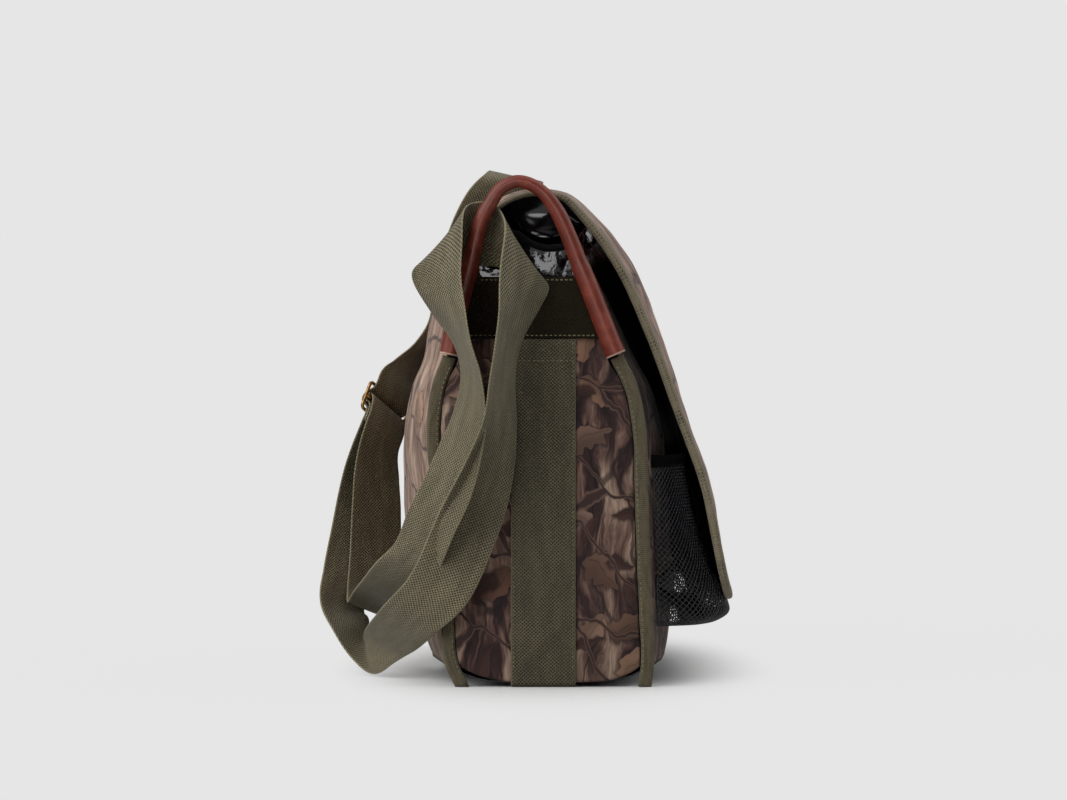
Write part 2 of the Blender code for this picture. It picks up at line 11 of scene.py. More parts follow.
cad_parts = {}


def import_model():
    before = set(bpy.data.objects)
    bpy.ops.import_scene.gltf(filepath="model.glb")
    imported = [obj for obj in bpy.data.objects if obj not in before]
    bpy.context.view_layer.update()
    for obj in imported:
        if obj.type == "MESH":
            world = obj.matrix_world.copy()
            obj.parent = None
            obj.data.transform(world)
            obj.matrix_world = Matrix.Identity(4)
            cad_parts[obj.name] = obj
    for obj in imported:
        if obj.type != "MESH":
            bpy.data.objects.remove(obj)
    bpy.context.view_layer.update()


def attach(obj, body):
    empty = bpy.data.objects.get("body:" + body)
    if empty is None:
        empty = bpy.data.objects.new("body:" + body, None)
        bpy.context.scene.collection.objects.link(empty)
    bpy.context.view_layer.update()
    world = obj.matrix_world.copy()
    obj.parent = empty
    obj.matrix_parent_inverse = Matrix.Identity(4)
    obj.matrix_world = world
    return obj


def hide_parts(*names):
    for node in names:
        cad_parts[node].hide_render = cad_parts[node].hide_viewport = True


MM = 0.001
UP = (0.0, 0.0, 1.0)

# Driving dimensions, in millimetres
BAG_LENGTH = 380.0
CLOTH = 1.6
FLAP_CLOTH = 1.4
BASE_CLOTH = 1.2
VINYL = 0.6
GAP = 0.35
WEBBING_WIDTH = 50.0
WEBBING = 1.8
WEBBING_BEND = 3.2
STRAP = 1.5
TAPE_WIDTH = 10.5
TAPE = 4.6
FLAP_TAPE_WIDTH = 9.5
FLAP_TAPE_SEEN = 11.5
FLAP_TAPE_THICK = 6.8
FLAP_TAPE = 4.0
HOOP_LEG_RADIUS = 6.5
HOOP_X = BAG_LENGTH / 2 - 0.5
BODY_TOP = 325.0
BINDING_TOP = 254.0
FLAP_HALF = 176.0
FLAP_CORNER = 38.0
BELLY_POWER = 2.6
CORNER_LIFT = 12.0
BOTTOM_Z = WEBBING + 0.9
GIRTH_Y = 7.0
GIRTH_TOP = 267.6
BAND_HEIGHTS = (268.0, 315.5)
PANEL_FOOT = 16.5
PANEL_CLEARANCE = 0.8
LEG_STARTS = (242.0, 249.0)
CREASE_Z = 254.0

# The seam where each gusset meets the front and back panels: height, front y, back y
SEAM = (
    (0, -71, 69), (16, -73, 77), (50, -72.3, 81), (100, -70, 84.5), (150, -68.5, 88), (205, -66, 91.5),
    (232, -60, 87.5), (254, -49.5, 79.5), (278, -39.5, 75), (305, -29, 68.5), (325, -21, 63),
    (352, -11, 56)
)

# The free arch of each hoop, over the mouth of the bag: y, z
ARCH = (
    (-12, 348), (-3, 367), (8, 381), (18, 387.2), (27, 389), (38, 384.8), (48, 372), (55, 358),
    (59.5, 341.5)
)

# Thickness of each hoop by height: height, radius. The leather steps out where the panel ends.
HOOP_RADII = (
    (250, 7.9), (300, 7.8), (322, 7.5), (327, 6.7), (334, 6.5), (360, 6.1), (380, 5.2), (400, 4.8)
)

# How far the panels stand out at mid length: height, front belly, back belly
BELLY = (
    (0, 16, 18), (16, 20, 21), (54, 26, 28), (140, 28, 33), (200, 24, 28), (255, 20, 26), (290, 18, 25),
    (325, 14, 18), (352, 10, 12)
)

# The flap along its near edge, back to front: y, z, crown at mid length, and how much closer to
# the bag its far edge hangs
FLAP = (
    (64, 327, 18, 0), (60, 346, 15, 0), (49, 366, 11, 0), (28, 380, 8, 0), (5, 383, 8, 0),
    (-8, 380, 10, 3), (-26, 363, 14, 10), (-53, 325, 19, 17), (-76, 275, 19, 19), (-99, 213, 15, 21),
    (-121, 151, 13, 23), (-129, 112, 13, 23), (-138, 66, 13, 22)
)

# The net pouch at mid length, from its mouth round its bottom to the panel: height, y
POUCH = (
    (176, -107), (150, -112), (128, -117), (106, -124), (86, -132), (68, -141), (54, -145), (46, -131),
    (48, -113), (62, -102), (84, -60)
)
POUCH_HALF = 166.0
POUCH_SLACK = 0.5
NET_STEP = (2.5, 1.8)
NET_STRAND = 1.4
NET_GATHER = 0.55

# The flap's vinyl where it droops over the mouth, inside its near edge: distance from the edge on the
# flat film, how far that place moves back towards the edge, and how far it drops
MOUTH_SAG = (
    (0, 0, 0), (8, -3, -8), (16, -8, -16), (24, -17, -24), (30, -25, -30), (36, -33.5, -35),
    (42, -40, -39), (48, -41, -42), (58, -37, -43.5), (80, -22, -38), (110, -6, -26), (150, 0, -19),
    (200, 0, -17), (400, 0, -17)
)
MOUTH_SAG_AT = 6.0
MOUTH_SAG_HALF = 40.0

# The liner: half length below and above the hoops' legs, and how far it stays inside the panels
LINER_HALF = (184.5, 180.0)
LINER_INSET = 3.2
LINER_TOP = 346.0
RIM_RADIUS = 2.7

# The webbing where its sewn end wraps the slider's middle bar: along the slider, off its plane
SEWN_END = (
    (-22, 5.2), (-12, 5.1), (-8, 4.6), (-4.8, 2.6), (-3.5, 0), (-2.2, -2.4), (0, -3.2), (2.2, -2.4),
    (3.4, 0), (2.2, 3.2), (-1.5, 5.4), (-8, 7.1), (-14, 7.8), (-24, 7.8)
)

# The running webbing where it threads the slider
THREAD = (
    (-24, 2.9), (-13, 3.1), (-9.4, 2.2), (-7, -0.6), (-5, -3.6), (-2.6, -5.6), (0, -6.2), (2.6, -5.6),
    (5, -3.6), (7, -0.6), (9.4, 2.2), (13, 3.3), (22, 3.6)
)

SLIDER_AT = (8.0, 139.5, 212.0)
SLIDER_ALONG = (0.39, -0.30, 0.87)
SLIDER_LEAN = 43.0
SLIDER_TURN = -46.0
SLIDER_HALF = (28.0, 12.1)
SLIDER_WIRE = 1.45

# The webbing's middle line and the way its width lies. Lean turns the width up from +Y and turn
# takes it out along X: x, y, z, lean, turn
NEAR_LOOPS = (
    (-4, 145, 160, 20, -42), (-5, 145.5, 132, 8, -38), (-12, 146.5, 84, 8, -34),
    (-26, 148.5, 57, 20, -34), (-44, 147, 47.5, 24, -30), (-66, 140, 55, 24, -20), (-130, 126, 70, 27, 5),
    (-162, 117, 83, 28, 20), (-186, 104, 101, 28, 36), (-200, 93, 127, 26, 36), (-208, 81, 152, 22, 38),
    (-214, 71, 180, 15, 46), (-219, 63, 212, 4, 60), (-223, 62.5, 242, 0, 72), (-224, 68, 262, 0, 74),
    (-222, 79, 288, -4, 58), (-214, 88, 317, -18, 38), (-203, 85, 342, -47, 10),
    (-187.5, 74, 349, -66, 2), (-181.9, 61, 350, -76, 0), (-181.9, 48, 349, -90, 0),
    (-187, 35, 344, -104, 2), (-203, 22, 333, -126, 12), (-216, 25, 296, -166, 50),
    (-222, 34, 263, -178, 68), (-225, 38, 236, -178, 68), (-222, 40, 204, -170, 60),
    (-213, 49.5, 164, -162, 38), (-204, 66, 122, -152, 10), (-199, 91, 71, -152, -16),
    (-188, 108, 54, -152, -24), (-162, 121, 40, -152, -30), (-112, 137, 25, -138, -46),
    (-86, 148.5, 15.5, -106, -57), (-74, 154, 23, -70, -60), (-64, 163, 38, -18, -58),
    (-48, 171, 50, 16, -46), (-26, 167, 78, 10, -34), (-6, 161, 115, 8, -34), (4, 154, 158, 22, -40)
)
FAR_STRAND = (
    (38, 123.5, 247, 45, -64), (80, 109, 266, 46, -72), (112, 98, 286, 45, -68), (134, 92, 328, 36, -62),
    (142, 82, 352, 30, -60), (147, 68, 378, 20, -48), (151, 49, 403, 14, -28), (157, 35, 417, 9, -14),
    (167, 30, 420, 12, -6), (178, 43, 404, -34, 0)
)

# The webbing's end loop round the far hoop, on the shoulder of its arch
END_LOOP_AT = (HOOP_X, 46.8, 367.6)
END_LOOP_LEAN = -54.0
END_LOOP_RADII = (8.4, 11.4)
END_LOOP_TURN = 292.0

# The camera stands at the photograph's distance and looks along the bag
CAMERA_AT = (-2.39, 0.0146, 0.2208)
LENS_MM = 96.5
PALE = "#e6e6e6"
WINDOW_TOWARD = (-1.0, 0.10, 0.14)
WINDOW_STRENGTH = 5.5
# The soft lights: the way to each, where its glow starts and where it is full, and its strength
SOFT_LIGHTS = (
    ((-0.42, 0.72, 0.60), 0.80, 0.93, 2.95), ((0.10, 0.0, 1.0), 0.55, 0.95, 0.66),
    ((0.20, -0.75, 0.65), 0.78, 0.93, 1.30)
)
SURROUND_LIGHT = 0.07
FLOOR_HALF = 60.0
# The share of the floor that shows as plain unshaded paper, away from the bag
FLOOR_PLAIN = 0.96

# Thread and weave sizes, in millimetres
WEFT_STEP = 2.7
WARP_STEP = 2.9
TAPE_RIB = 1.5
TWILL_STEP = 1.1
STITCH_LONG = 2.2
STITCH_PITCH = 3.2
THREAD_RADIUS = 0.30

# Node settings that the finishes share
FLAT_NOISE = {"noise_dimensions": "2D", "Scale": 1.0}
CELL_EDGES = {"voronoi_dimensions": "2D", "feature": "DISTANCE_TO_EDGE", "Scale": 1.0}
SMOOTH = {"interpolation_type": "SMOOTHSTEP"}
MIXED = {"data_type": "RGBA"}
TINTED = {"data_type": "RGBA", "blend_type": "MULTIPLY", 0: 1.0}


def smooth_through(knots, values, wanted):
    """A smooth curve through the rows of values, one at each knot."""
    knots = np.asarray(knots, float)
    values = np.asarray(values, float)
    wanted = np.clip(np.asarray(wanted, float), knots[0], knots[-1])
    slopes = np.gradient(values, knots, axis=0)
    left = np.clip(np.searchsorted(knots, wanted, side="right") - 1, 0, len(knots) - 2)
    span = knots[left + 1] - knots[left]
    u = (wanted - knots[left]) / span
    if values.ndim > 1:
        span, u = span[..., None], u[..., None]
    return (
        (1 + 2 * u) * (1 - u) ** 2 * values[left]
        + u * (1 - u) ** 2 * span * slopes[left]
        + u * u * (3 - 2 * u) * values[left + 1]
        + u * u * (u - 1) * span * slopes[left + 1]
    )


def path_lengths(points):
    steps = np.linalg.norm(np.diff(points, axis=0), axis=1)
    return np.concatenate([[0.0], np.cumsum(steps)])


def at(x, y, z):
    """Places from even or changing coordinates."""
    return np.stack(np.broadcast_arrays(x, y, z), -1).astype(float)


def resample(rows, count, place_columns):
    """Even steps along a smooth path through rows, whose first columns are the place."""
    rows = np.asarray(rows, float)
    lengths = path_lengths(rows[:, :place_columns])
    return smooth_through(lengths, rows, np.linspace(0.0, lengths[-1], count))


def unit(vectors):
    return vectors / np.linalg.norm(vectors, axis=-1, keepdims=True)


def tangents(path):
    return unit(np.gradient(path, axis=0))


def step_up(value, low, high):
    u = np.clip((value - low) / (high - low), 0.0, 1.0)
    return u * u * (3 - 2 * u)


def up_then_down(value, rise, fall):
    return step_up(value, *rise) * (1.0 - step_up(value, *fall))


def crowded(count):
    """Places from -1 to 1 that stand closer together towards both ends."""
    return np.sin(np.linspace(-math.pi / 2, math.pi / 2, count))


def seam_y(side, z):
    """The seam's y at a height: side -1 is the front and +1 the back."""
    table = np.array(SEAM)
    return smooth_through(table[:, 0], table[:, 1 if side < 0 else 2], z)


def panel_y(side, x, z):
    """The outer face of the front or back panel."""
    table = np.array(BELLY)
    belly = smooth_through(table[:, 0], table[:, 1 if side < 0 else 2], z)
    swell = 1.0 - np.minimum(np.abs(x) / (BAG_LENGTH / 2), 1.0) ** BELLY_POWER
    return seam_y(side, z) + side * belly * swell


def bottom_height(v):
    """The underside's lift towards the front and back seams, v running from -1 to 1."""
    return BOTTOM_Z + CORNER_LIFT * np.abs(v) ** 5


def gusset_edge(side, z):
    """Where the gusset's cloth stops short of the seam: at the tape below, at the hoop's leg above."""
    half = TAPE_WIDTH / 2 + step_up(z, 238.0, 248.0) * (HOOP_LEG_RADIUS - TAPE_WIDTH / 2)
    slope = (seam_y(side, z + 1.0) - seam_y(side, z - 1.0)) / 2.0
    return seam_y(side, z) - side * (half * np.sqrt(1.0 + slope**2) + 2 * GAP)


def ripple(points, spacing, seed):
    """Smooth swells from -1 to 1 at each point, about spacing millimetres apart."""
    shift = Vector((seed * 37.1, seed * 11.7, seed * 5.3))
    places = np.asarray(points, float)
    flat = places.reshape(-1, 3) / spacing
    values = [noise.noise(Vector(p) + shift) for p in flat]
    return np.array(values).reshape(places.shape[:-1])


def crease(points, spacing, seed):
    """Sharp ridges from 0 to 1, as creased film and stiff cloth have, spacing millimetres apart."""
    return (1.0 - np.abs(ripple(points, spacing, seed)) * 2.0).clip(0.0, 1.0) ** 3


def grid_faces(rows, columns, ring=False):
    faces = []
    for i in range(rows - 1):
        for j in range(columns if ring else columns - 1):
            k = (j + 1) % columns
            faces.append((i * columns + j, i * columns + k, (i + 1) * columns + k, (i + 1) * columns + j))
    return faces


def bar_faces(rings, sides, closed=False):
    """The faces of a bar: its sides, and then its two ends or the faces that close its loop."""
    faces, last = grid_faces(rings, sides, ring=True), (rings - 1) * sides
    if closed:
        return faces + [(last + j, last + (j + 1) % sides, (j + 1) % sides, j) for j in range(sides)]
    return faces + [tuple(range(sides))[::-1], tuple(range(last, last + sides))]


def cut_size(grid):
    """Width, length and area of the flat cloth that the grid was cut from, in metres."""
    across = np.linalg.norm(np.diff(grid, axis=1), axis=2).sum(axis=1).max()
    along = np.linalg.norm(np.diff(grid, axis=0), axis=2).sum(axis=0).max()
    down = grid[1:, :-1] - grid[:-1, :-1]
    side = grid[:-1, 1:] - grid[:-1, :-1]
    area = np.linalg.norm(np.cross(down, side), axis=2).sum()
    return across * MM, along * MM, area * MM * MM


def add_piece(name, points, faces, finish, run=None, facing=None):
    """A mesh piece from points in millimetres. Run is each point's place on the flat cloth, across
    and along. Facing is the way that an open sheet looks, and a closed mesh looks outwards."""
    mesh = bpy.data.meshes.new(name)
    mesh.from_pydata((np.asarray(points, float).reshape(-1, 3) * MM).tolist(), [], faces)
    mesh.update()
    count = len(mesh.polygons)
    normals, centres, areas = np.empty(count * 3), np.empty(count * 3), np.empty(count)
    mesh.polygons.foreach_get("normal", normals)
    mesh.polygons.foreach_get("center", centres)
    mesh.polygons.foreach_get("area", areas)
    weighted = normals.reshape(-1, 3) * areas[:, None]
    if facing is None:
        outward = float((weighted * centres.reshape(-1, 3)).sum())
    else:
        outward = float(weighted.sum(axis=0) @ np.array(facing, float))
    if outward < 0:
        mesh.flip_normals()
    if run is not None:
        flat = np.asarray(run, float).reshape(-1, 2) * MM
        corners = np.empty(len(mesh.loops), int)
        mesh.loops.foreach_get("vertex_index", corners)
        mesh.uv_layers.new(name="cloth").data.foreach_set("uv", flat[corners].ravel())
    mesh.shade_smooth()
    mesh.materials.append(finish)
    obj = bpy.data.objects.new(name, mesh)
    bpy.context.scene.collection.objects.link(obj)
    return obj


def points_of(obj):
    places = np.empty(len(obj.data.vertices) * 3)
    obj.data.vertices.foreach_get("co", places)
    return places.reshape(-1, 3) / MM


def move_points(obj, places):
    obj.data.vertices.foreach_set("co", (places * MM).ravel())
    obj.data.update()


def thicken(obj, thickness):
    """Gives a sheet its thickness, which lies behind the face that it shows."""
    solid = obj.modifiers.new("thickness", "SOLIDIFY")
    solid.thickness, solid.offset = thickness * MM, -1.0
    return obj


def cloth_piece(name, grid, run, thickness, finish, facing):
    obj = add_piece(name, grid, grid_faces(*grid.shape[:2]), finish, run, facing)
    return thicken(obj, thickness)


def bar_points(centres, across, over, half_width, half_thickness, section):
    """The points of a bar round a path, and each one's place across and along the bar. A direction
    across or over is one for the whole bar or one for each centre."""
    across, over = (np.broadcast_to(way, centres.shape) for way in (across, over))
    width = np.broadcast_to(half_width, len(centres))[:, None] * section[:, 0]
    thickness = np.broadcast_to(half_thickness, len(centres))[:, None] * section[:, 1]
    points = centres[:, None] + across[:, None] * width[..., None] + over[:, None] * thickness[..., None]
    along = np.broadcast_to(path_lengths(centres)[:, None], width.shape)
    return points, np.stack([width, along], -1)


def sweep_piece(name, centres, across, over, half_width, half_thickness, section, finish, closed=False):
    """A bar along a path, with its run across and along for woven finishes."""
    points, run = bar_points(centres, across, over, half_width, half_thickness, section)
    return add_piece(name, points, bar_faces(len(centres), len(section), closed), finish, run)


def oval(sides, power=1.0):
    """A round section, squarer as power falls."""
    turns = np.linspace(0.0, 2 * math.pi, sides, endpoint=False)
    c, s = np.cos(turns), np.sin(turns)
    return np.stack([np.sign(c) * np.abs(c) ** power, np.sign(s) * np.abs(s) ** power], 1)


def flat_band(points_across):
    """The section of a woven band: flat faces and narrow rounded edges."""
    u = crowded(points_across) * 0.985
    top = np.stack([u, np.where(np.abs(u) > 0.97, 0.75, 1.0)], 1)
    return np.concatenate([[(-1.0, 0.0)], top, [(1.0, 0.0)], (top * (1, -1))[::-1]])


def stitch_rows(name, rows, finish, pitch=STITCH_PITCH, long=STITCH_LONG, radius=THREAD_RADIUS):
    """Thread stitches along rows, each row a path on the cloth's face and the face's direction."""
    ring = oval(5)
    stations = ((-0.5, 0.35), (-0.32, 1.0), (0.32, 1.0), (0.5, 0.35))
    bar = bar_faces(len(stations), len(ring))
    points, faces = [], []
    for path, face in rows:
        path = np.asarray(path, float)
        lengths = path_lengths(path)
        middles = np.arange(pitch / 2, lengths[-1] - pitch / 3, pitch)
        face = np.broadcast_to(np.asarray(face, float), path.shape)
        for middle in middles:
            ends = [smooth_through(lengths, path, middle + k * long) for k in (-0.5, 0.5)]
            up = unit(smooth_through(lengths, face, middle))
            along = unit(ends[1] - ends[0])
            side = unit(np.cross(up, along))
            up = np.cross(along, side)
            centre = (ends[0] + ends[1]) / 2
            first = len(points)
            for place, swell in stations:
                for a, b in ring:
                    points.append(
                        centre
                        + along * place * long
                        + (side * a * 1.25 + up * b) * radius * swell
                        - up * radius * (0.9 - 0.7 * swell)
                    )
            faces.extend(tuple(first + v for v in corners) for corners in bar)
    return add_piece(name, points, faces, finish)


def linear(colour):
    """An sRGB hex colour as linear red, green, blue and alpha."""
    parts = [int(colour[k : k + 2], 16) / 255 for k in (1, 3, 5)]
    parts = [c / 12.92 if c <= 0.04045 else ((c + 0.055) / 1.055) ** 2.4 for c in parts]
    return (*parts, 1.0)


def fill(tree, node, settings):
    """Sets a node's attributes and sockets by name. A node or an output among the values is linked."""
    for key, value in settings.items():
        if isinstance(value, bpy.types.Node):
            value = value.outputs[0]
        if key == "stops":
            ramp = node.color_ramp
            while len(ramp.elements) < len(value):
                ramp.elements.new(0.5)
            for element, (place, colour) in zip(ramp.elements, value):
                element.position = place
                element.color = linear(colour)
        elif isinstance(value, bpy.types.NodeSocket):
            tree.links.new(value, node.inputs[key])
        elif isinstance(key, str) and hasattr(node, key):
            setattr(node, key, value)
        else:
            node.inputs[key].default_value = linear(value) if isinstance(value, str) else value


def add(tree, kind, settings=None):
    """Adds a node with its settings, and with what feeds its sockets among them."""
    made = tree.nodes.new("ShaderNode" + kind)
    fill(tree, made, settings or {})
    return made


def new_finish(name, roughness, **sockets):
    """A material and its shader, whose even values are set on the shader itself."""
    made = bpy.data.materials.new(name)
    made.use_nodes = True
    shader = made.node_tree.nodes["Principled BSDF"]
    settings = {key.replace("_", " "): value for key, value in sockets.items()}
    fill(made.node_tree, shader, {"Roughness": roughness, **settings})
    return made, made.node_tree, shader


def per_step(across, along):
    """The scale that makes one unit of each step, given in millimetres."""
    return 1.0 / (across * MM), 1.0 / (along * MM), 1.0


def cloth_places(tree, step_across, step_along):
    """The piece's flat cloth, scaled so that one unit is one step each way."""
    flat = add(tree, "UVMap", {"uv_map": "cloth"})
    return add(tree, "Mapping", {"Scale": per_step(step_across, step_along), "Vector": flat})


def solid_places(tree, step):
    """Places in the piece itself, scaled so that one unit is one step in millimetres."""
    place = add(tree, "TexCoord")
    scale = 1.0 / (step * MM)
    return add(tree, "Mapping", {"Scale": (scale,) * 3, "Vector": place.outputs["Object"]})


def leaf_layer(tree, cell, angle, shape, keep, below, colours, warp):
    """Printed leaves, one to a cell, each turned its own way: returns the print with them on it."""
    places = add(tree, "Mapping", {"Rotation": (0.0, 0.0, angle), "Vector": warp})
    scaled = add(tree, "Mapping", {"Scale": per_step(cell, cell), "Vector": places})
    cells = add(tree, "TexVoronoi", {
        "voronoi_dimensions": "2D", "Scale": 1.0, "Randomness": 0.85, "Vector": scaled
    })
    local = add(tree, "VectorMath", {"operation": "SUBTRACT", 0: scaled, 1: cells.outputs["Position"]})
    lots = add(tree, "SeparateColor", {"Color": cells.outputs["Color"]})
    turn = add(tree, "Math", {"operation": "MULTIPLY", 0: lots.outputs[0], 1: 2 * math.pi})
    turned = add(tree, "VectorRotate", {"rotation_type": "Z_AXIS", "Vector": local, "Angle": turn})
    axes = add(tree, "SeparateXYZ", {"Vector": turned})
    half_length, half_width, lobes = shape
    rise = add(tree, "Math", {"operation": "DIVIDE", 0: axes.outputs["Y"], 1: half_length})
    square = add(tree, "Math", {"operation": "MULTIPLY", 0: rise, 1: rise})
    taper = add(tree, "Math", {"operation": "MULTIPLY_ADD", 0: square, 1: -half_width, 2: half_width})
    beat = add(tree, "Math", {"operation": "MULTIPLY", 0: rise, 1: lobes})
    wave = add(tree, "Math", {"operation": "SINE", 0: beat})
    lobed = add(tree, "Math", {"operation": "MULTIPLY_ADD", 0: wave, 1: 0.028, 2: taper})
    from_rib = add(tree, "Math", {"operation": "ABSOLUTE", 0: axes.outputs["X"]})
    outside = add(tree, "Math", {"operation": "SUBTRACT", 0: from_rib, 1: lobed})
    kept = add(tree, "Math", {"operation": "LESS_THAN", 0: lots.outputs[2], 1: keep})
    edge = add(tree, "MapRange", {**SMOOTH, "From Min": 0.008, "From Max": -0.012, "Value": outside})
    halo = add(tree, "MapRange", {
        **SMOOTH, "From Min": 0.10, "From Max": -0.02, "To Max": 0.75, "Value": outside
    })
    mask = add(tree, "Math", {"operation": "MULTIPLY", 0: edge, 1: kept})
    shadow = add(tree, "Math", {"operation": "MULTIPLY", 0: halo, 1: kept})
    dye = add(tree, "ValToRGB", {"stops": colours, "Fac": lots.outputs[1]})
    fold = add(tree, "MapRange", {
        "From Min": -0.10, "From Max": 0.12, "To Min": 0.62, "To Max": 1.12, "Value": axes.outputs["X"]
    })
    rib = add(tree, "MapRange", {
        "From Min": 0.0, "From Max": 0.016, "To Min": 0.55, "To Max": 1.0, "Value": from_rib
    })
    shade = add(tree, "Math", {"operation": "MULTIPLY", 0: fold, 1: rib})
    leaf = add(tree, "Mix", {**TINTED, 6: dye, 7: shade})
    dark = add(tree, "Mix", {**MIXED, 7: "#1e1418", 0: shadow, 6: below})
    return add(tree, "Mix", {**MIXED, 0: mask, 6: dark.outputs[2], 7: leaf.outputs[2]}).outputs[2]


def printed_twill(name, pale, leaves):
    """Printed cotton twill. Pigment print on a diagonal weave: dull, with a soft sheen at the edges
    and a generic print of bark, leaves and twigs in mauve brown, tan and dark aubergine."""
    made, tree, shader = new_finish(name, 0.82, Sheen_Weight=0.12, Specular_IOR_Level=0.28)
    flat = add(tree, "UVMap", {"uv_map": "cloth"})
    bend = add(tree, "TexNoise", {**FLAT_NOISE, "Detail": 3.0, "Vector": cloth_places(tree, 34.0, 60.0)})
    centred = add(tree, "VectorMath", {
        "operation": "SUBTRACT", 0: bend.outputs["Color"], 1: (0.5, 0.5, 0.0)
    })
    pull = add(tree, "VectorMath", {"operation": "MULTIPLY", 0: centred, 1: (0.026, 0.026, 0.0)})
    warp = add(tree, "VectorMath", {"operation": "ADD", 0: flat, 1: pull})

    def warped(across, along):
        return add(tree, "Mapping", {"Scale": per_step(across, along), "Vector": warp})

    zones = add(tree, "TexNoise", {**FLAT_NOISE, "Detail": 2.0, "Vector": warped(46.0, 170.0)})
    bark = add(tree, "TexNoise", {
        **FLAT_NOISE, "Detail": 7.0, "Roughness": 0.62, "Vector": warped(11.0, 62.0)
    })
    streaks = add(tree, "TexNoise", {
        **FLAT_NOISE, "Detail": 4.0, "Roughness": 0.7, "Vector": warped(2.2, 26.0)
    })
    dark_bark = add(tree, "ValToRGB", {
        "stops": [(0.32, "#190f11"), (0.46, "#3a2726"), (0.55, "#5f463f"), (0.70, "#8d7063")], "Fac": bark
    })
    pale_bark = add(tree, "ValToRGB", {
        "stops": [(0.28, "#5d463b"), (0.44, "#866b5d"), (0.55, "#a28775"), (0.72, "#bda491")], "Fac": bark
    })
    where = add(tree, "MapRange", {
        **SMOOTH, "From Min": 0.60 - pale, "From Max": 0.68 - pale, "Value": zones
    })
    ground = add(tree, "Mix", {**MIXED, 0: where, 6: dark_bark, 7: pale_bark})
    grain = add(tree, "MapRange", {
        "From Min": 0.35, "From Max": 0.65, "To Min": 0.62, "To Max": 1.3, "Value": streaks
    })
    grained = add(tree, "Mix", {**TINTED, 6: ground.outputs[2], 7: grain})
    cracks = add(tree, "TexVoronoi", {**CELL_EDGES, "Vector": warped(30.0, 95.0)})
    crack = add(tree, "MapRange", {
        **SMOOTH, "From Min": 0.05, "From Max": 0.015, "To Max": 1.0 - 1.8 * pale, "Value": cracks
    })
    split = add(tree, "Mix", {**MIXED, 7: "#1c1216", 0: crack, 6: grained.outputs[2]})
    litter = [
        (0.0, "#56392f"), (0.2, "#94705c"), (0.4, "#664b3d"), (0.6, "#83675a"), (0.8, "#a58369"),
        (1.0, "#452f2a")
    ]
    printed = leaf_layer(tree, 44.0, 0.5, (0.46, 0.21, 14.0), leaves, split.outputs[2], litter, warp)
    printed = leaf_layer(tree, 30.0, 2.1, (0.44, 0.15, 3.0), leaves * 0.8, printed, litter[::-1], warp)
    slanted = add(tree, "Mapping", {"Rotation": (0.0, 0.0, 0.95), "Vector": warp})
    twig_places = add(tree, "Mapping", {"Scale": per_step(52.0, 120.0), "Vector": slanted})
    twigs = add(tree, "TexVoronoi", {**CELL_EDGES, "Vector": twig_places})
    pale_side = add(tree, "MapRange", {**SMOOTH, "From Min": 0.034, "From Max": 0.022, "Value": twigs})
    twig = add(tree, "MapRange", {
        **SMOOTH, "From Min": 0.022, "From Max": 0.012, "To Max": 1.0 - 1.6 * pale, "Value": twigs
    })
    lit = add(tree, "Mix", {**MIXED, 7: "#6a5249", 0: pale_side, 6: printed})
    whole = add(tree, "Mix", {**MIXED, 7: "#26181a", 0: twig, 6: lit.outputs[2]})
    # The real twill is about half as coarse, too fine to show at this distance
    weave = add(tree, "TexWave", {
        "bands_direction": "DIAGONAL", "Scale": 0.5, "Distortion": 0.6, "Detail": 1.0,
        "Vector": cloth_places(tree, TWILL_STEP, TWILL_STEP)
    })
    bump = add(tree, "Bump", {"Strength": 0.25, "Distance": 0.15 * MM, "Height": weave.outputs["Fac"]})
    fill(tree, shader, {"Base Color": whole.outputs[2], "Normal": bump})
    return made


def float_height(tree, places):
    """Rounded yarn floats in staggered rows, from 0 in the gaps between them to 1 on top."""
    axes = add(tree, "SeparateXYZ", {"Vector": places})
    waves = []
    for axis in ("X", "Y"):
        turn = add(tree, "Math", {"operation": "MULTIPLY", 0: axes.outputs[axis], 1: 2 * math.pi})
        waves.append(add(tree, "Math", {"operation": "COSINE", 0: turn}))
    woven = add(tree, "Math", {"operation": "MULTIPLY", 0: waves[0], 1: waves[1]})
    return add(tree, "MapRange", {**SMOOTH, "From Min": -0.85, "From Max": 0.30, "Value": woven})


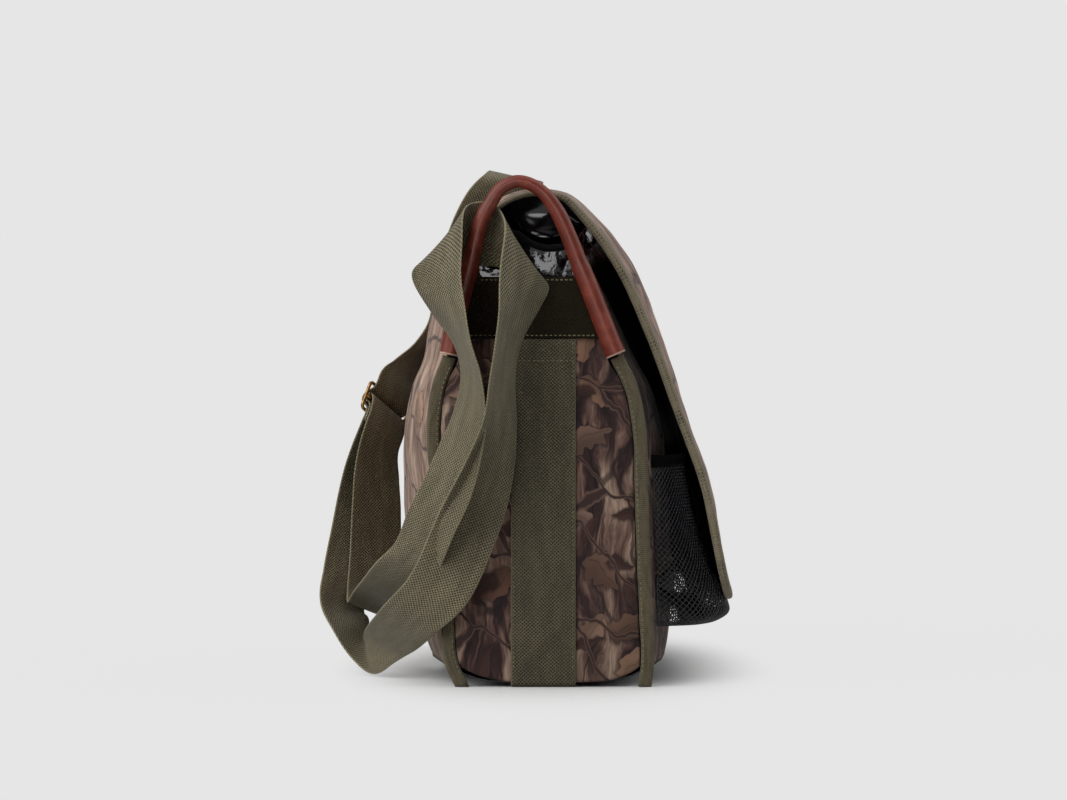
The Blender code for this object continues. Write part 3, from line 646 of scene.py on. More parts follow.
def woven_webbing(name, gap, tint_low, tint_high, sheen=0.12):
    """Heavy woven polypropylene webbing. Fat warp floats in staggered rows: matt, dotted, with dark
    gaps between the floats, a firm pale edge that is partly painted highlight, and a faint sheen
    where the yarn stands up."""
    made, tree, shader = new_finish(name, 0.72, Sheen_Weight=sheen, Specular_IOR_Level=2.5 * sheen)
    height = float_height(tree, cloth_places(tree, WARP_STEP, WEFT_STEP))
    worn = add(tree, "TexNoise", {**FLAT_NOISE, "Detail": 4.0, "Vector": cloth_places(tree, 9.0, 30.0)})
    yarn = add(tree, "TexNoise", {**FLAT_NOISE, "Detail": 2.0, "Vector": cloth_places(tree, 1.1, 2.0)})
    blend = add(tree, "Math", {"operation": "MULTIPLY_ADD", 0: yarn, 1: 0.5, 2: height})
    drift = add(tree, "Math", {"operation": "MULTIPLY_ADD", 0: worn, 1: 0.5, 2: blend})
    share = add(tree, "Math", {"operation": "MULTIPLY", 0: drift, 1: 0.55})
    stops = [(0.30, gap), (0.66, tint_low), (0.98, tint_high)]
    dye = add(tree, "ValToRGB", {"stops": stops, "Fac": share})
    edge = add(tree, "SeparateXYZ", {"Vector": add(tree, "UVMap", {"uv_map": "cloth"})})
    far = add(tree, "Math", {"operation": "ABSOLUTE", 0: edge.outputs["X"]})
    # The paler line along each edge: partly the woven edge's own paler yarn, partly a painted highlight
    # where the rounded edge catches the light.
    selvedge_highlight = add(tree, "MapRange", {
        "From Min": 0.0236, "From Max": 0.0246, "To Max": 0.7, "Value": far
    })
    whole = add(tree, "Mix", {**MIXED, 7: tint_high, 0: selvedge_highlight, 6: dye})
    bump = add(tree, "Bump", {"Strength": 0.8, "Distance": 0.45 * MM, "Height": height})
    fine = add(tree, "Bump", {"Strength": 0.3, "Distance": 0.15 * MM, "Height": yarn, "Normal": bump})
    fill(tree, shader, {"Base Color": whole.outputs[2], "Normal": fine})
    return made


def ribbed_tape(name, dark, light, rib, sheen=0.15):
    """Woven binding tape. Fine ribs across its length: matt, a little paler on each rib."""
    made, tree, shader = new_finish(name, 0.75, Sheen_Weight=sheen, Specular_IOR_Level=2.3 * sheen)
    places = cloth_places(tree, rib * 0.8, rib)
    ribs = add(tree, "TexBrick", {
        "offset": 0.5, "offset_frequency": 2, "squash": 1.0, "Scale": 1.0, "Mortar Size": 0.24,
        "Mortar Smooth": 1.0, "Brick Width": 1.0, "Row Height": 1.0, "Color1": "#ffffff",
        "Color2": "#d8d8d8", "Mortar": "#000000", "Vector": places
    })
    height = add(tree, "Math", {"operation": "SUBTRACT", 0: 1.0, 1: ribs.outputs["Fac"]})
    worn = add(tree, "TexNoise", {**FLAT_NOISE, "Detail": 4.0, "Vector": cloth_places(tree, 3.0, 12.0)})
    mixed = add(tree, "Math", {"operation": "MULTIPLY_ADD", 0: height, 1: 0.6, 2: worn})
    dye = add(tree, "ValToRGB", {"stops": [(0.35, dark), (0.95, light)], "Fac": mixed})
    bump = add(tree, "Bump", {"Strength": 0.8, "Distance": 0.3 * MM, "Height": height})
    fill(tree, shader, {"Base Color": dye, "Normal": bump})
    return made


def tanned_leather():
    """Smooth tanned cowhide, finished with pigment and drawn tight over a rod: red brown, with a
    long soft highlight, fine pores and paler places where it is stretched or rubbed."""
    made, tree, shader = new_finish("tanned_cowhide", 0.40, IOR=1.5, Specular_IOR_Level=0.38)
    pores = add(tree, "TexVoronoi", {
        "feature": "DISTANCE_TO_EDGE", "Scale": 1.0, "Vector": solid_places(tree, 1.1)
    })
    cloud = add(tree, "TexNoise", {
        "Scale": 1.0, "Detail": 5.0, "Roughness": 0.6, "Vector": solid_places(tree, 16.0)
    })
    dye = add(tree, "ValToRGB", {
        "stops": [(0.30, "#60281c"), (0.52, "#743022"), (0.75, "#8f4635")], "Fac": cloud
    })
    polish = add(tree, "MapRange", {
        "From Min": 0.3, "From Max": 0.7, "To Min": 0.34, "To Max": 0.48, "Value": cloud
    })
    bump = add(tree, "Bump", {"Strength": 0.25, "Distance": 0.12 * MM, "Height": pores})
    swell = add(tree, "Bump", {"Strength": 0.35, "Distance": 0.6 * MM, "Height": cloud, "Normal": bump})
    fill(tree, shader, {"Base Color": dye, "Roughness": polish, "Normal": swell})
    return made


def cut_edge():
    """The raw edge of the cowhide: pale, rough fibre."""
    made, tree, shader = new_finish("raw_leather_edge", 0.9)
    fibre = add(tree, "TexNoise", {"Scale": 1.0, "Detail": 3.0, "Vector": solid_places(tree, 0.7)})
    dye = add(tree, "ValToRGB", {"stops": [(0.3, "#b98f78"), (0.7, "#e0c4b0")], "Fac": fibre})
    fill(tree, shader, {"Base Color": dye})
    return made


def calendered_vinyl(name, crumple, depth, polish_from):
    """Thin calendered PVC film on a knit back: near black, with creases that catch the light. It is
    glossy above the height polish_from, and lower down its knit back shows and it is dull."""
    made, tree, shader = new_finish(name, 0.5, IOR=1.53)
    wide = add(tree, "TexNoise", {
        "Scale": 1.0, "Detail": 3.0, "Roughness": 0.45, "Distortion": 0.5,
        "Vector": solid_places(tree, crumple)
    })
    fine = add(tree, "TexNoise", {"Scale": 1.0, "Detail": 3.0, "Vector": solid_places(tree, 1.3)})
    dye = add(tree, "ValToRGB", {"stops": [(0.3, "#08070a"), (0.7, "#131116")], "Fac": wide})
    place = add(tree, "TexCoord")
    axes = add(tree, "SeparateXYZ", {"Vector": place.outputs["Object"]})
    low, high = polish_from * MM, (polish_from + 12.0) * MM
    for socket, dull, glossy in (("Roughness", 0.6, 0.13), ("Specular IOR Level", 0.1, 0.42)):
        polish = add(tree, "MapRange", {
            "From Min": low, "From Max": high, "To Min": dull, "To Max": glossy,
            "Value": axes.outputs["Z"]
        })
        fill(tree, shader, {socket: polish})
    bump = add(tree, "Bump", {"Strength": depth, "Distance": 2.0 * MM, "Height": wide})
    grain = add(tree, "Bump", {"Strength": 0.15, "Distance": 0.1 * MM, "Height": fine, "Normal": bump})
    fill(tree, shader, {"Base Color": dye, "Normal": grain})
    return made


def coated_cloth():
    """Polyester cloth with a black polyurethane coat: a low shine over a plain weave."""
    made, tree, shader = new_finish("coated_polyester", 0.5)
    weave = add(tree, "TexBrick", {
        "offset": 0.5, "Scale": 1.0, "Mortar Size": 0.2, "Mortar Smooth": 1.0, "Brick Width": 1.0,
        "Row Height": 1.0, "Vector": cloth_places(tree, 1.4, 1.4)
    })
    dust = add(tree, "TexNoise", {"Scale": 1.0, "Detail": 5.0, "Vector": solid_places(tree, 30.0)})
    dye = add(tree, "ValToRGB", {"stops": [(0.3, "#0d0c0f"), (0.75, "#242226")], "Fac": dust})
    bump = add(tree, "Bump", {
        "Strength": 0.4, "Distance": 0.2 * MM, "invert": True, "Height": weave.outputs["Fac"]
    })
    fill(tree, shader, {"Base Color": dye, "Normal": bump})
    return made


def knitted_nylon():
    """Knitted nylon net: hard, shiny black yarn that sparkles where it turns."""
    made, tree, shader = new_finish("knitted_nylon_net", 0.28, IOR=1.53)
    twist = add(tree, "TexNoise", {"Scale": 1.0, "Detail": 2.0, "Vector": solid_places(tree, 1.2)})
    dye = add(tree, "ValToRGB", {"stops": [(0.3, "#070609"), (0.7, "#1a181c")], "Fac": twist})
    bump = add(tree, "Bump", {"Strength": 0.5, "Distance": 0.3 * MM, "Height": twist})
    fill(tree, shader, {"Base Color": dye, "Normal": bump})
    return made


def patinated_brass():
    """Cast brass with a dark patina, rubbed bright along its edges and raised places."""
    made, tree, shader = new_finish("patinated_brass", 0.34, Metallic=1.0)
    tarnish = add(tree, "TexNoise", {
        "Scale": 1.0, "Detail": 5.0, "Roughness": 0.65, "Vector": solid_places(tree, 5.0)
    })
    dye = add(tree, "ValToRGB", {
        "stops": [(0.32, "#4a3620"), (0.5, "#8d6c3e"), (0.7, "#c19c62")], "Fac": tarnish
    })
    polish = add(tree, "MapRange", {
        "From Min": 0.3, "From Max": 0.7, "To Min": 0.5, "To Max": 0.22, "Value": tarnish
    })
    bump = add(tree, "Bump", {"Strength": 0.3, "Distance": 0.1 * MM, "Height": tarnish})
    fill(tree, shader, {"Base Color": dye, "Roughness": polish, "Normal": bump})
    return made


def spun_thread(name, dark, light):
    """Bonded polyester sewing thread, its twist drawn as coarse as it needs to show."""
    made, tree, shader = new_finish(name, 0.6)
    twist = add(tree, "TexNoise", {"Scale": 1.0, "Detail": 1.0, "Vector": solid_places(tree, 0.9)})
    dye = add(tree, "ValToRGB", {"stops": [(0.35, dark), (0.65, light)], "Fac": twist})
    bump = add(tree, "Bump", {"Strength": 0.6, "Distance": 0.2 * MM, "Height": twist})
    fill(tree, shader, {"Base Color": dye, "Normal": bump})
    return made


def panel_folds(side, x, z):
    """How far the panel's cloth stands out from its even belly: soft pulls from the seams."""
    x, z = np.broadcast_arrays(np.asarray(x, float), np.asarray(z, float))
    slanted = np.stack([x * 0.55 + z * 0.3, z - x * 0.35, np.full(x.shape, 60.0 * side)], -1)
    swell = ripple(slanted, 62.0, 3 if side < 0 else 5)
    small = ripple(slanted, 24.0, 9)
    free = 1.0 - np.minimum(np.abs(x) / 183.0, 1.0) ** 6
    free = free * up_then_down(z, (16.0, 44.0), (296.0, 322.0))
    size = 0.9 if side < 0 else 2.3
    return free * size * (swell + 0.35 * small + 0.25)


def make_panel(name, side, finish):
    across = crowded(120)
    z = np.linspace(PANEL_FOOT, BODY_TOP, 96)[:, None]
    edge = HOOP_X - TAPE / 2 - PANEL_CLEARANCE - step_up(z, *LEG_STARTS) * (HOOP_LEG_RADIUS - TAPE / 2)
    x = across * edge
    grid = at(x, panel_y(side, x, z) + side * panel_folds(side, x, z), z)
    run = grid[..., [0, 2]] + (210.0 * side, 35.0)
    return cloth_piece(name, grid, run, CLOTH, finish, (0, side, 0)), cut_size(grid)


def make_bottom(finish):
    x = np.linspace(-1.0, 1.0, 90)[:, None] * (HOOP_X - TAPE / 2 - GAP)
    v = crowded(40)
    front, back = panel_y(-1, x, PANEL_FOOT), panel_y(1, x, PANEL_FOOT)
    grid = at(x, front + (back - front) * (v + 1) / 2, bottom_height(v))
    away = np.clip(np.abs(grid[..., 1] - GIRTH_Y) - WEBBING_WIDTH / 2, 0.0, 12.0) / 12.0
    grid[..., 2] += away * 1.2 * (ripple(grid, 30.0, 4) + 0.6)
    sheet = cloth_piece("bottom_cloth", grid, grid[..., :2], BASE_CLOTH, finish, (0, 0, -1))
    return sheet, cut_size(grid)


def gusset_puff(y, z, front, back):
    """How far the gusset's cloth swells out on each side of the webbing sewn down it."""
    low, high = GIRTH_Y - WEBBING_WIDTH / 2, GIRTH_Y + WEBBING_WIDTH / 2
    in_front = np.clip((low - y) / np.maximum(low - front, 1.0), 0.0, 1.0)
    behind = np.clip((y - high) / np.maximum(back - high, 1.0), 0.0, 1.0)
    arch = np.sin(np.pi * in_front) ** 0.8 + np.sin(np.pi * behind) ** 0.8
    return arch * up_then_down(z, (12.0, 50.0), (240.0, 262.0))


def make_gusset(name, end, finish):
    v = np.linspace(-1.0, 1.0, 90)
    low = bottom_height(v) + 1.0
    z = low + (BODY_TOP - 11.0 - low) * np.linspace(0.0, 1.0, 170)[:, None]
    front, back = gusset_edge(-1, z), gusset_edge(1, z)
    y = front + (back - front) * (v + 1) / 2
    puff = gusset_puff(y, z, front, back)
    grid = at(0.0, y, z)
    swell = 2.9 + 1.5 * ripple(grid, 46.0, 11) + 0.7 * ripple(grid, 17.0, 12)
    seam = np.minimum(np.abs(y - front), np.abs(y - back))
    pucker = 0.45 * np.sin(z * 2 * np.pi / 9.0) * np.exp(-seam / 6.0)
    out = puff * np.clip(swell, 0.4, None) + pucker * step_up(seam, 0.0, 3.0)
    grid[..., 0] = end * (BAG_LENGTH / 2 + out)
    run = np.stack([grid[..., 1] * -end + 90.0 * end, grid[..., 2]], -1)
    return cloth_piece(name, grid, run, CLOTH, finish, (end, 0, 0)), cut_size(grid)


def make_top_band(name, end, finish):
    z = np.linspace(*BAND_HEIGHTS, 30)[:, None]
    v = np.linspace(0.0, 1.0, 50)
    front, back = gusset_edge(-1, z), gusset_edge(1, z)
    grid = at(0.0, front + (back - front) * v, z)
    lift = 0.5 * (ripple(grid, 26.0, 21) + 0.6) * np.sin(np.pi * v)[None, :]
    grid[..., 0] = end * (BAG_LENGTH / 2 + GAP + WEBBING + lift)
    run = np.stack([grid[..., 2], grid[..., 1]], -1)
    return cloth_piece(name, grid, run, WEBBING, finish, (end, 0, 0)), cut_size(grid)


def girth_path(step):
    """The webbing's middle line down a gusset, under the bottom and up the other, in x and z."""
    reach = BAG_LENGTH / 2 + GAP + WEBBING / 2
    middle, bend = WEBBING / 2, WEBBING_BEND
    arc = np.radians(np.linspace(0.0, 90.0, 8))
    corner = np.stack([-reach + bend - bend * np.cos(arc), middle + bend - bend * np.sin(arc)], 1)
    heights = np.arange(GIRTH_TOP, middle + bend + step, -step)
    side = np.stack([np.full(len(heights), -reach), heights], 1)
    floor = np.arange(-reach + bend + step, 0.0, step)
    half = np.concatenate([side, corner, np.stack([floor, np.full(len(floor), middle)], 1)])
    return np.concatenate([half, half[::-1] * (-1, 1)])


def make_girth_webbing(finish):
    path = girth_path(4.0)
    centres = at(path[:, 0], GIRTH_Y, path[:, 1])
    across = (0.0, 1.0, 0.0)
    over = np.cross(tangents(centres), across)
    band = flat_band(25)
    obj = sweep_piece(
        "gusset_webbing", centres, across, over, WEBBING_WIDTH / 2, WEBBING / 2, band, finish
    )
    places = points_of(obj)
    z = places[:, 2]
    inner = np.clip((WEBBING_WIDTH / 2 - np.abs(places[:, 1] - GIRTH_Y)) / 8.0, 0.0, 1.0)
    tall = up_then_down(z, (10.0, 40.0), (225.0, 250.0))
    swell = 1.0 + 0.8 * ripple(places * (0.0, 1.0, 0.6), 34.0, 31)
    slant = places[:, 1] - GIRTH_Y + (z - 34.0) * 0.9
    crimp = 1.3 * np.exp(-((slant / 5.0) ** 2)) * up_then_down(z, (8.0, 22.0), (42.0, 58.0))
    groove = 0.15 * np.exp(-(((z - CREASE_Z) / 5.0) ** 2))
    lift = inner * (tall * swell.clip(0.0, None) + crimp) - groove
    places[:, 0] += np.sign(places[:, 0]) * lift * (np.abs(places[:, 0]) > 180.0)
    move_points(obj, places)
    return obj, (WEBBING_WIDTH * MM, path_lengths(centres)[-1] * MM)


def make_binding(name, side, end, finish):
    z = np.concatenate([np.linspace(0.4, 14.0, 8)[:-1], np.linspace(14.0, BINDING_TOP, 120)])
    centres = at(end * HOOP_X, seam_y(side, z), z)
    over = (float(end), 0.0, 0.0)
    across = np.cross(over, tangents(centres))
    across[0] = (0.0, 1.0, 0.0)
    wobble = ripple(centres, 14.0, 41)
    return sweep_piece(
        name, centres, across, over, TAPE_WIDTH / 2 + 0.25 * wobble, TAPE / 2 + 0.2 * wobble,
        oval(16, 0.75), finish
    )


def binding_stitches(name, end, finish):
    rows = []
    for side in (-1, 1):
        z = np.linspace(10.0, BINDING_TOP - 4.0, 80)
        slope = np.gradient(seam_y(side, z), z)
        inward = (TAPE_WIDTH / 2 - 2.0) * np.sqrt(1 + slope**2)
        y = seam_y(side, z) - side * inward
        rows.append((at(end * (HOOP_X + TAPE / 2 - 0.25), y, z), (end, 0.0, 0.0)))
    return stitch_rows(name, rows, finish, pitch=4.0, long=2.7, radius=0.5)


def hoop_line():
    """The middle line of a hoop in y and z, up the front leg, over the arch and down the back."""
    legs = np.array([BINDING_TOP + 1.4, 266.0, 280.0, 296.0, 311.0, BODY_TOP])
    front = np.stack([seam_y(-1, legs), legs], 1)
    back = np.stack([seam_y(1, legs), legs], 1)[::-1]
    return np.concatenate([front, np.array(ARCH), back])


def make_hoop(name, end, leather, raw):
    line = resample(hoop_line(), 150, 2)
    table = np.array(HOOP_RADII)
    radii = np.interp(line[:, 1], table[:, 0], table[:, 1])
    centres = at(end * HOOP_X, line[:, 0], line[:, 1])
    along = tangents(centres)
    over = np.tile([float(end), 0.0, 0.0], (len(line), 1))
    across = np.cross(over, along)
    radii = radii * (1.0 + 0.02 * ripple(centres, 11.0, 51))
    near, far = centres[0] + along[0] * 1.3, centres[-1] - along[-1] * 1.3
    foot, heel = centres[:1], centres[-1:]
    centres = np.concatenate([foot, foot, [near], centres[1:-1], [far], heel, heel])
    across = np.concatenate([across[:2], across, across[-2:]])
    over = np.concatenate([over[:2], over, over[-2:]])
    radii = np.concatenate([radii[:2] - (2.0, 0.1), radii, radii[-2:] - (0.1, 2.0)])
    obj = sweep_piece(name, centres, across, over, radii, radii, oval(24), leather)
    obj.data.materials.append(raw)
    rings = len(centres)
    for index, face in enumerate(obj.data.polygons):
        ring = index // 24
        if ring <= 1 or ring >= rings - 3:
            face.material_index = 1
    return obj


def flap_half_width(lengths, end, inset):
    """Half of the flap's width inside an inset line, which its rounded lower corners draw in."""
    corner = FLAP_CORNER - inset
    short = np.clip(corner - (end - lengths), 0.0, corner)
    return FLAP_HALF - FLAP_CORNER + np.sqrt(corner**2 - short**2)


def flap_grid(rows, corner_rows, columns, inset, depth):
    """The flap's sheet, inset from its edges and set back from its outer face, with each point's
    place along the flap."""
    lengths = path_lengths(np.array(FLAP)[:, :2])
    end = lengths[-1] - inset
    corner = FLAP_CORNER - inset
    arc = np.sin(np.linspace(0.0, math.pi / 2, corner_rows + 1)[1:])
    places = np.concatenate([np.linspace(0.0, end - corner, rows), end - corner + corner * arc])
    table = smooth_through(lengths, np.array(FLAP), places)
    tangent = tangents(table[:, :2])
    normal = np.stack([tangent[:, 1], -tangent[:, 0]], 1)
    half = flap_half_width(places, end, inset)
    u = np.linspace(-1.0, 1.0, columns)
    x = u[None, :] * half[:, None]
    lift = table[:, 2:3] * (1.0 - np.minimum(np.abs(x) / FLAP_HALF, 1.0) ** 2.4) - depth
    closer = table[:, 3:4] * (x + FLAP_HALF) / (2 * FLAP_HALF)
    y, z = table[:, 0:1] + normal[:, 0:1] * lift + closer, table[:, 1:2] + normal[:, 1:2] * lift
    grid = at(x, y, z)
    run = np.stack([x, np.broadcast_to(-places[:, None], x.shape)], -1)
    edge = np.minimum(half[:, None] - np.abs(x), (end - places)[:, None])
    return grid, run, edge


def flap_normals(grid):
    """The flap's normals, turned to look up and forwards as its outer face does."""
    normals = unit(np.cross(np.gradient(grid, axis=0), np.gradient(grid, axis=1)) + 1e-12)
    return -normals if normals[..., 2].mean() < 0 else normals


def make_flap(cloth, vinyl):
    grid, run, edge = flap_grid(110, 18, 120, FLAP_TAPE_WIDTH, 0.0)
    free = step_up(edge, 0.0, 40.0)
    pulls = ripple(grid * (0.5, 1.0, 0.7), 48.0, 61) + 0.4 * ripple(grid, 19.0, 62)
    outer = grid + flap_normals(grid) * (free * (1.7 * pulls + 0.6))[..., None]
    # The flap's back edge laps over the top of the back panel
    outer[0] += (0.0, 4.2, -5.0)
    flap = cloth_piece("flap_cloth", outer, run + (0.0, 420.0), FLAP_CLOTH, cloth, (0, -1, 1))
    grid, run, edge = flap_grid(110, 18, 150, FLAP_TAPE_WIDTH, FLAP_CLOTH + 2 * GAP)
    near_half = grid[..., 0] < 0.0
    inwards = np.where(near_half, grid[..., 0] - grid[:, :1, 0], grid[:, -1:, 0] - grid[..., 0])
    over_mouth = np.clip(1.0 - ((grid[..., 1] - MOUTH_SAG_AT) / MOUTH_SAG_HALF) ** 2, 0.0, 1.0)
    over_mouth = over_mouth * (grid[..., 2] > 330.0) * step_up(over_mouth, 0.0, 0.5)
    table = np.array(MOUTH_SAG)
    sag = smooth_through(table[:, 0], table[:, 1:], inwards)
    free = step_up(edge, 0.0, 14.0) * (1.0 - 0.9 * step_up(over_mouth, 0.0, 0.4))
    crumpled = 1.1 * ripple(grid, 30.0, 63) + 0.8 * ripple(grid, 13.0, 64) - 0.9
    outer = grid + flap_normals(grid) * (free * crumpled)[..., None]
    outer[..., 0] += sag[..., 0] * over_mouth * np.where(near_half, 1.0, -1.0)
    outer[..., 2] += sag[..., 1] * over_mouth * np.where(near_half, 1.0, 0.72)
    lining = cloth_piece("flap_vinyl", outer[1:], run[1:], VINYL, vinyl, (0, -1, 1))
    return flap, cut_size(grid), lining, cut_size(grid[1:])


def flap_edge(inset, depth):
    """The flap's free edge inside an inset line: near side, lower edge and far side."""
    grid, _, _ = flap_grid(90, 16, 60, inset, depth)
    return np.concatenate([grid[1:, 0], grid[-1][1:-1], grid[1:, -1][::-1]])


def make_flap_binding(tape, thread):
    half = FLAP_TAPE_SEEN / 2
    depth = FLAP_TAPE / 2 + 0.2
    path = flap_edge(FLAP_TAPE_WIDTH - half - GAP, depth)
    inner = flap_edge(half + 4.0, depth)
    along = tangents(path)
    out = path - inner
    out -= along * np.sum(out * along, axis=1, keepdims=True)
    across = unit(out)
    over = np.cross(along, across)
    wobble = ripple(path, 16.0, 71)
    run = path_lengths(path)
    # The doubled tape opens out from the flap's sewn corners
    opened = step_up(np.minimum(run, run[-1] - run), 60.0, 130.0)
    thick = (FLAP_TAPE + (FLAP_TAPE_THICK - FLAP_TAPE) * opened) / 2
    tape_piece = sweep_piece(
        "flap_edge_tape", path, across, over, half + 0.2 * wobble, thick + 0.15 * wobble, oval(16, 0.7),
        tape
    )
    line = path - across * (half - 2.0)
    rows = [(line + over * (thick[:, None] * 0.82) * k, over * k) for k in (-1, 1)]
    return tape_piece, stitch_rows("flap_edge_stitches", rows, thread, 3.4, 2.2, 0.28)


def liner_ring(z, columns, end_columns):
    """One level of the liner, round front, far end, back and near end."""
    across = crowded(columns)
    ends = np.linspace(0.0, 1.0, end_columns)[1:-1]
    half = np.interp(z, (225.0, 245.0), LINER_HALF)
    x = across * half
    low = min(z, 340.0)
    inset = LINER_INSET + 9.0 * (1.0 - step_up(z, 14.0, 24.0))
    front = at(x, panel_y(-1, x, low) + inset, z)
    inset += 5.0 * step_up(z, 326.0, 342.0)
    back = at(x, panel_y(1, x, low) - inset, z)[::-1]
    far = front[-1] + (back[0] - front[-1]) * ends[:, None]
    near = back[-1] + (front[0] - back[-1]) * ends[:, None]
    ring = np.concatenate([front, far, back, near])
    sag = 11.0 * np.clip(1.0 - ((ring[:, 1] - 1.0) / 26.0) ** 2, 0.0, 1.0) - 3.0
    at_end = step_up(np.abs(ring[:, 0]), half - 30.0, half)
    ring[:, 2] -= sag * at_end * step_up(z, 300.0, LINER_TOP)
    return ring


def make_liner(vinyl, tape):
    # The bottom's rounded edge, and then the walls, whose levels stand closer near the top
    walls = np.linspace(40.0, 240.0, 26), np.linspace(246.0, LINER_TOP, 36)
    levels = np.concatenate([[12.5, 18.0, 26.0], *walls])
    rings = np.array([liner_ring(z, 90, 34) for z in levels])
    size = cut_size(rings)
    count = rings.shape[1]
    middle = rings.mean(axis=1, keepdims=True)
    inwards = unit((middle - rings) * (1.0, 1.0, 0.0) * (0.25, 1.0, 1.0) + 1e-9)
    at_end = np.abs(rings[..., 0]) > np.abs(rings[..., 0]).max(axis=1, keepdims=True) - 0.6
    inwards[at_end] = at(-np.sign(rings[..., 0][at_end]), 0.0, 0.0)
    free = up_then_down(rings[..., 2], (14.0, 40.0), (337.0, 346.0))
    crushed = 2.2 * crease(rings, 27.0, 81) + 1.3 * crease(rings, 13.0, 82) + 0.8
    rings = rings + inwards * (free * crushed)[..., None]
    faces = grid_faces(len(levels), count, ring=True)
    faces.append(tuple(range(count)))
    liner = thicken(add_piece("vinyl_liner", rings, faces, vinyl), VINYL)
    rim = rings[-1]
    along = tangents(np.concatenate([rim[-2:], rim, rim[:2]]))[2:-2]
    across = unit(np.cross(along, UP))
    over = np.cross(across, along)
    rim_tape = sweep_piece(
        "liner_rim_tape", rim, across, over, RIM_RADIUS * 0.8, RIM_RADIUS, oval(12), tape, closed=True
    )
    return liner, size, rim_tape


def pouch_point(x, y, z):
    """A place on the pouch: its profile at mid length, drawn in to the panel at its ends."""
    stand = 1.0 - (np.abs(x) / POUCH_HALF) ** np.where(x < 0, 11, 7)
    stand = stand * (1.0 - POUCH_SLACK * (x + POUCH_HALF) / (2 * POUCH_HALF))
    wall = panel_y(-1, x, z) - panel_folds(-1, x, z) - 1.0 - GAP
    out = wall - np.maximum(wall - y, 0.0) * stand
    return np.stack([x, out, z], -1)


def make_net_pouch(net, tape):
    profile = resample(np.array(POUCH)[:, ::-1], 240, 2)
    lengths = path_lengths(profile)
    rows = int(lengths[-1] / NET_STEP[0]) // 2 * 2 + 1
    columns = int(2 * POUCH_HALF / NET_STEP[1]) // 2 * 2 + 1
    line = smooth_through(lengths, profile, np.linspace(0.0, lengths[-1], rows))
    # Meshes close up towards the ends, where the net is gathered
    x = np.linspace(-1.0, 1.0, columns)
    x = POUCH_HALF * (x + NET_GATHER * np.sin(math.pi * x) / math.pi)
    grid = pouch_point(*np.broadcast_arrays(x[None, :], line[:, :1], line[:, 1:]))
    size = cut_size(grid)
    ends = 1.0 - (np.abs(grid[..., 0]) / POUCH_HALF) ** 8
    low = step_up(-grid[..., 2], -150.0, -70.0) * ends
    bunch = 1.7 * crease(grid * (1.0, 1.0, 0.5), 26.0, 91) + 1.4 * ripple(grid, 12.0, 92)
    grid[..., 1] += low * bunch
    grid[..., 2] += low * 1.6 * ripple(grid, 18.0, 93) * step_up(grid[..., 2], 44.0, 54.0)
    wall = panel_y(-1, grid[..., 0], grid[..., 2]) - panel_folds(-1, grid[..., 0], grid[..., 2])
    grid[..., 1] = np.minimum(grid[..., 1], wall - 1.0 - NET_STRAND / 2)
    index = -np.ones((rows, columns), int)
    points = []
    for i in range(rows):
        for j in range(columns):
            if (i + j) % 2 == 0:
                index[i, j] = len(points)
                points.append(grid[i, j])
    faces = []
    for i in range(1, rows - 1):
        for j in range(1, columns - 1):
            if (i + j) % 2:
                faces.append((index[i - 1, j], index[i, j + 1], index[i + 1, j], index[i, j - 1]))
    used = sorted({v for face in faces for v in face})
    renumber = {v: k for k, v in enumerate(used)}
    faces = [tuple(renumber[v] for v in face) for face in faces]
    obj = add_piece("pouch_net", [points[v] for v in used], faces, net, facing=(0, -1, 0))
    wire = obj.modifiers.new("strands", "WIREFRAME")
    wire.thickness = NET_STRAND * MM
    wire.use_boundary, wire.use_even_offset = True, False
    hem = pouch_point(*np.broadcast_arrays(x[::2], POUCH[0][1], POUCH[0][0] - 3.0))
    over = unit(np.cross(tangents(hem), UP))
    return obj, size, sweep_piece("pouch_hem", hem, UP, over, 5.0, 0.9, flat_band(7), tape)


def width_direction(lean, turn):
    lean, turn = np.radians(lean), np.radians(turn)
    return np.stack([np.sin(turn), np.cos(turn) * np.cos(lean), np.cos(turn) * np.sin(lean)], axis=-1)


def slider_frame():
    """The slider's middle, and its unit directions across, along and out of its plane."""
    along = unit(np.array(SLIDER_ALONG))
    across = width_direction(SLIDER_LEAN, SLIDER_TURN)
    across = unit(across - along * np.dot(across, along))
    return np.array(SLIDER_AT), across, along, np.cross(along, across)


def slider_rows(table):
    middle, _, along, out = slider_frame()
    return [(*(middle + along * v + out * q), SLIDER_LEAN, SLIDER_TURN) for v, q in table]


def end_loop_rows():
    """Webbing rows round the far hoop, inwards past it, under it and back over it."""
    middle = np.array(END_LOOP_AT)
    lean = math.radians(END_LOOP_LEAN)
    outward = np.array([0.0, -math.sin(lean), math.cos(lean)])
    rows = []
    for degrees in np.linspace(150.0, 150.0 + END_LOOP_TURN, 13):
        angle = math.radians(degrees)
        place = middle + outward * END_LOOP_RADII[1] * math.sin(angle)
        place[0] += END_LOOP_RADII[0] * math.cos(angle)
        rows.append((*place, END_LOOP_LEAN, 0.0))
    return rows


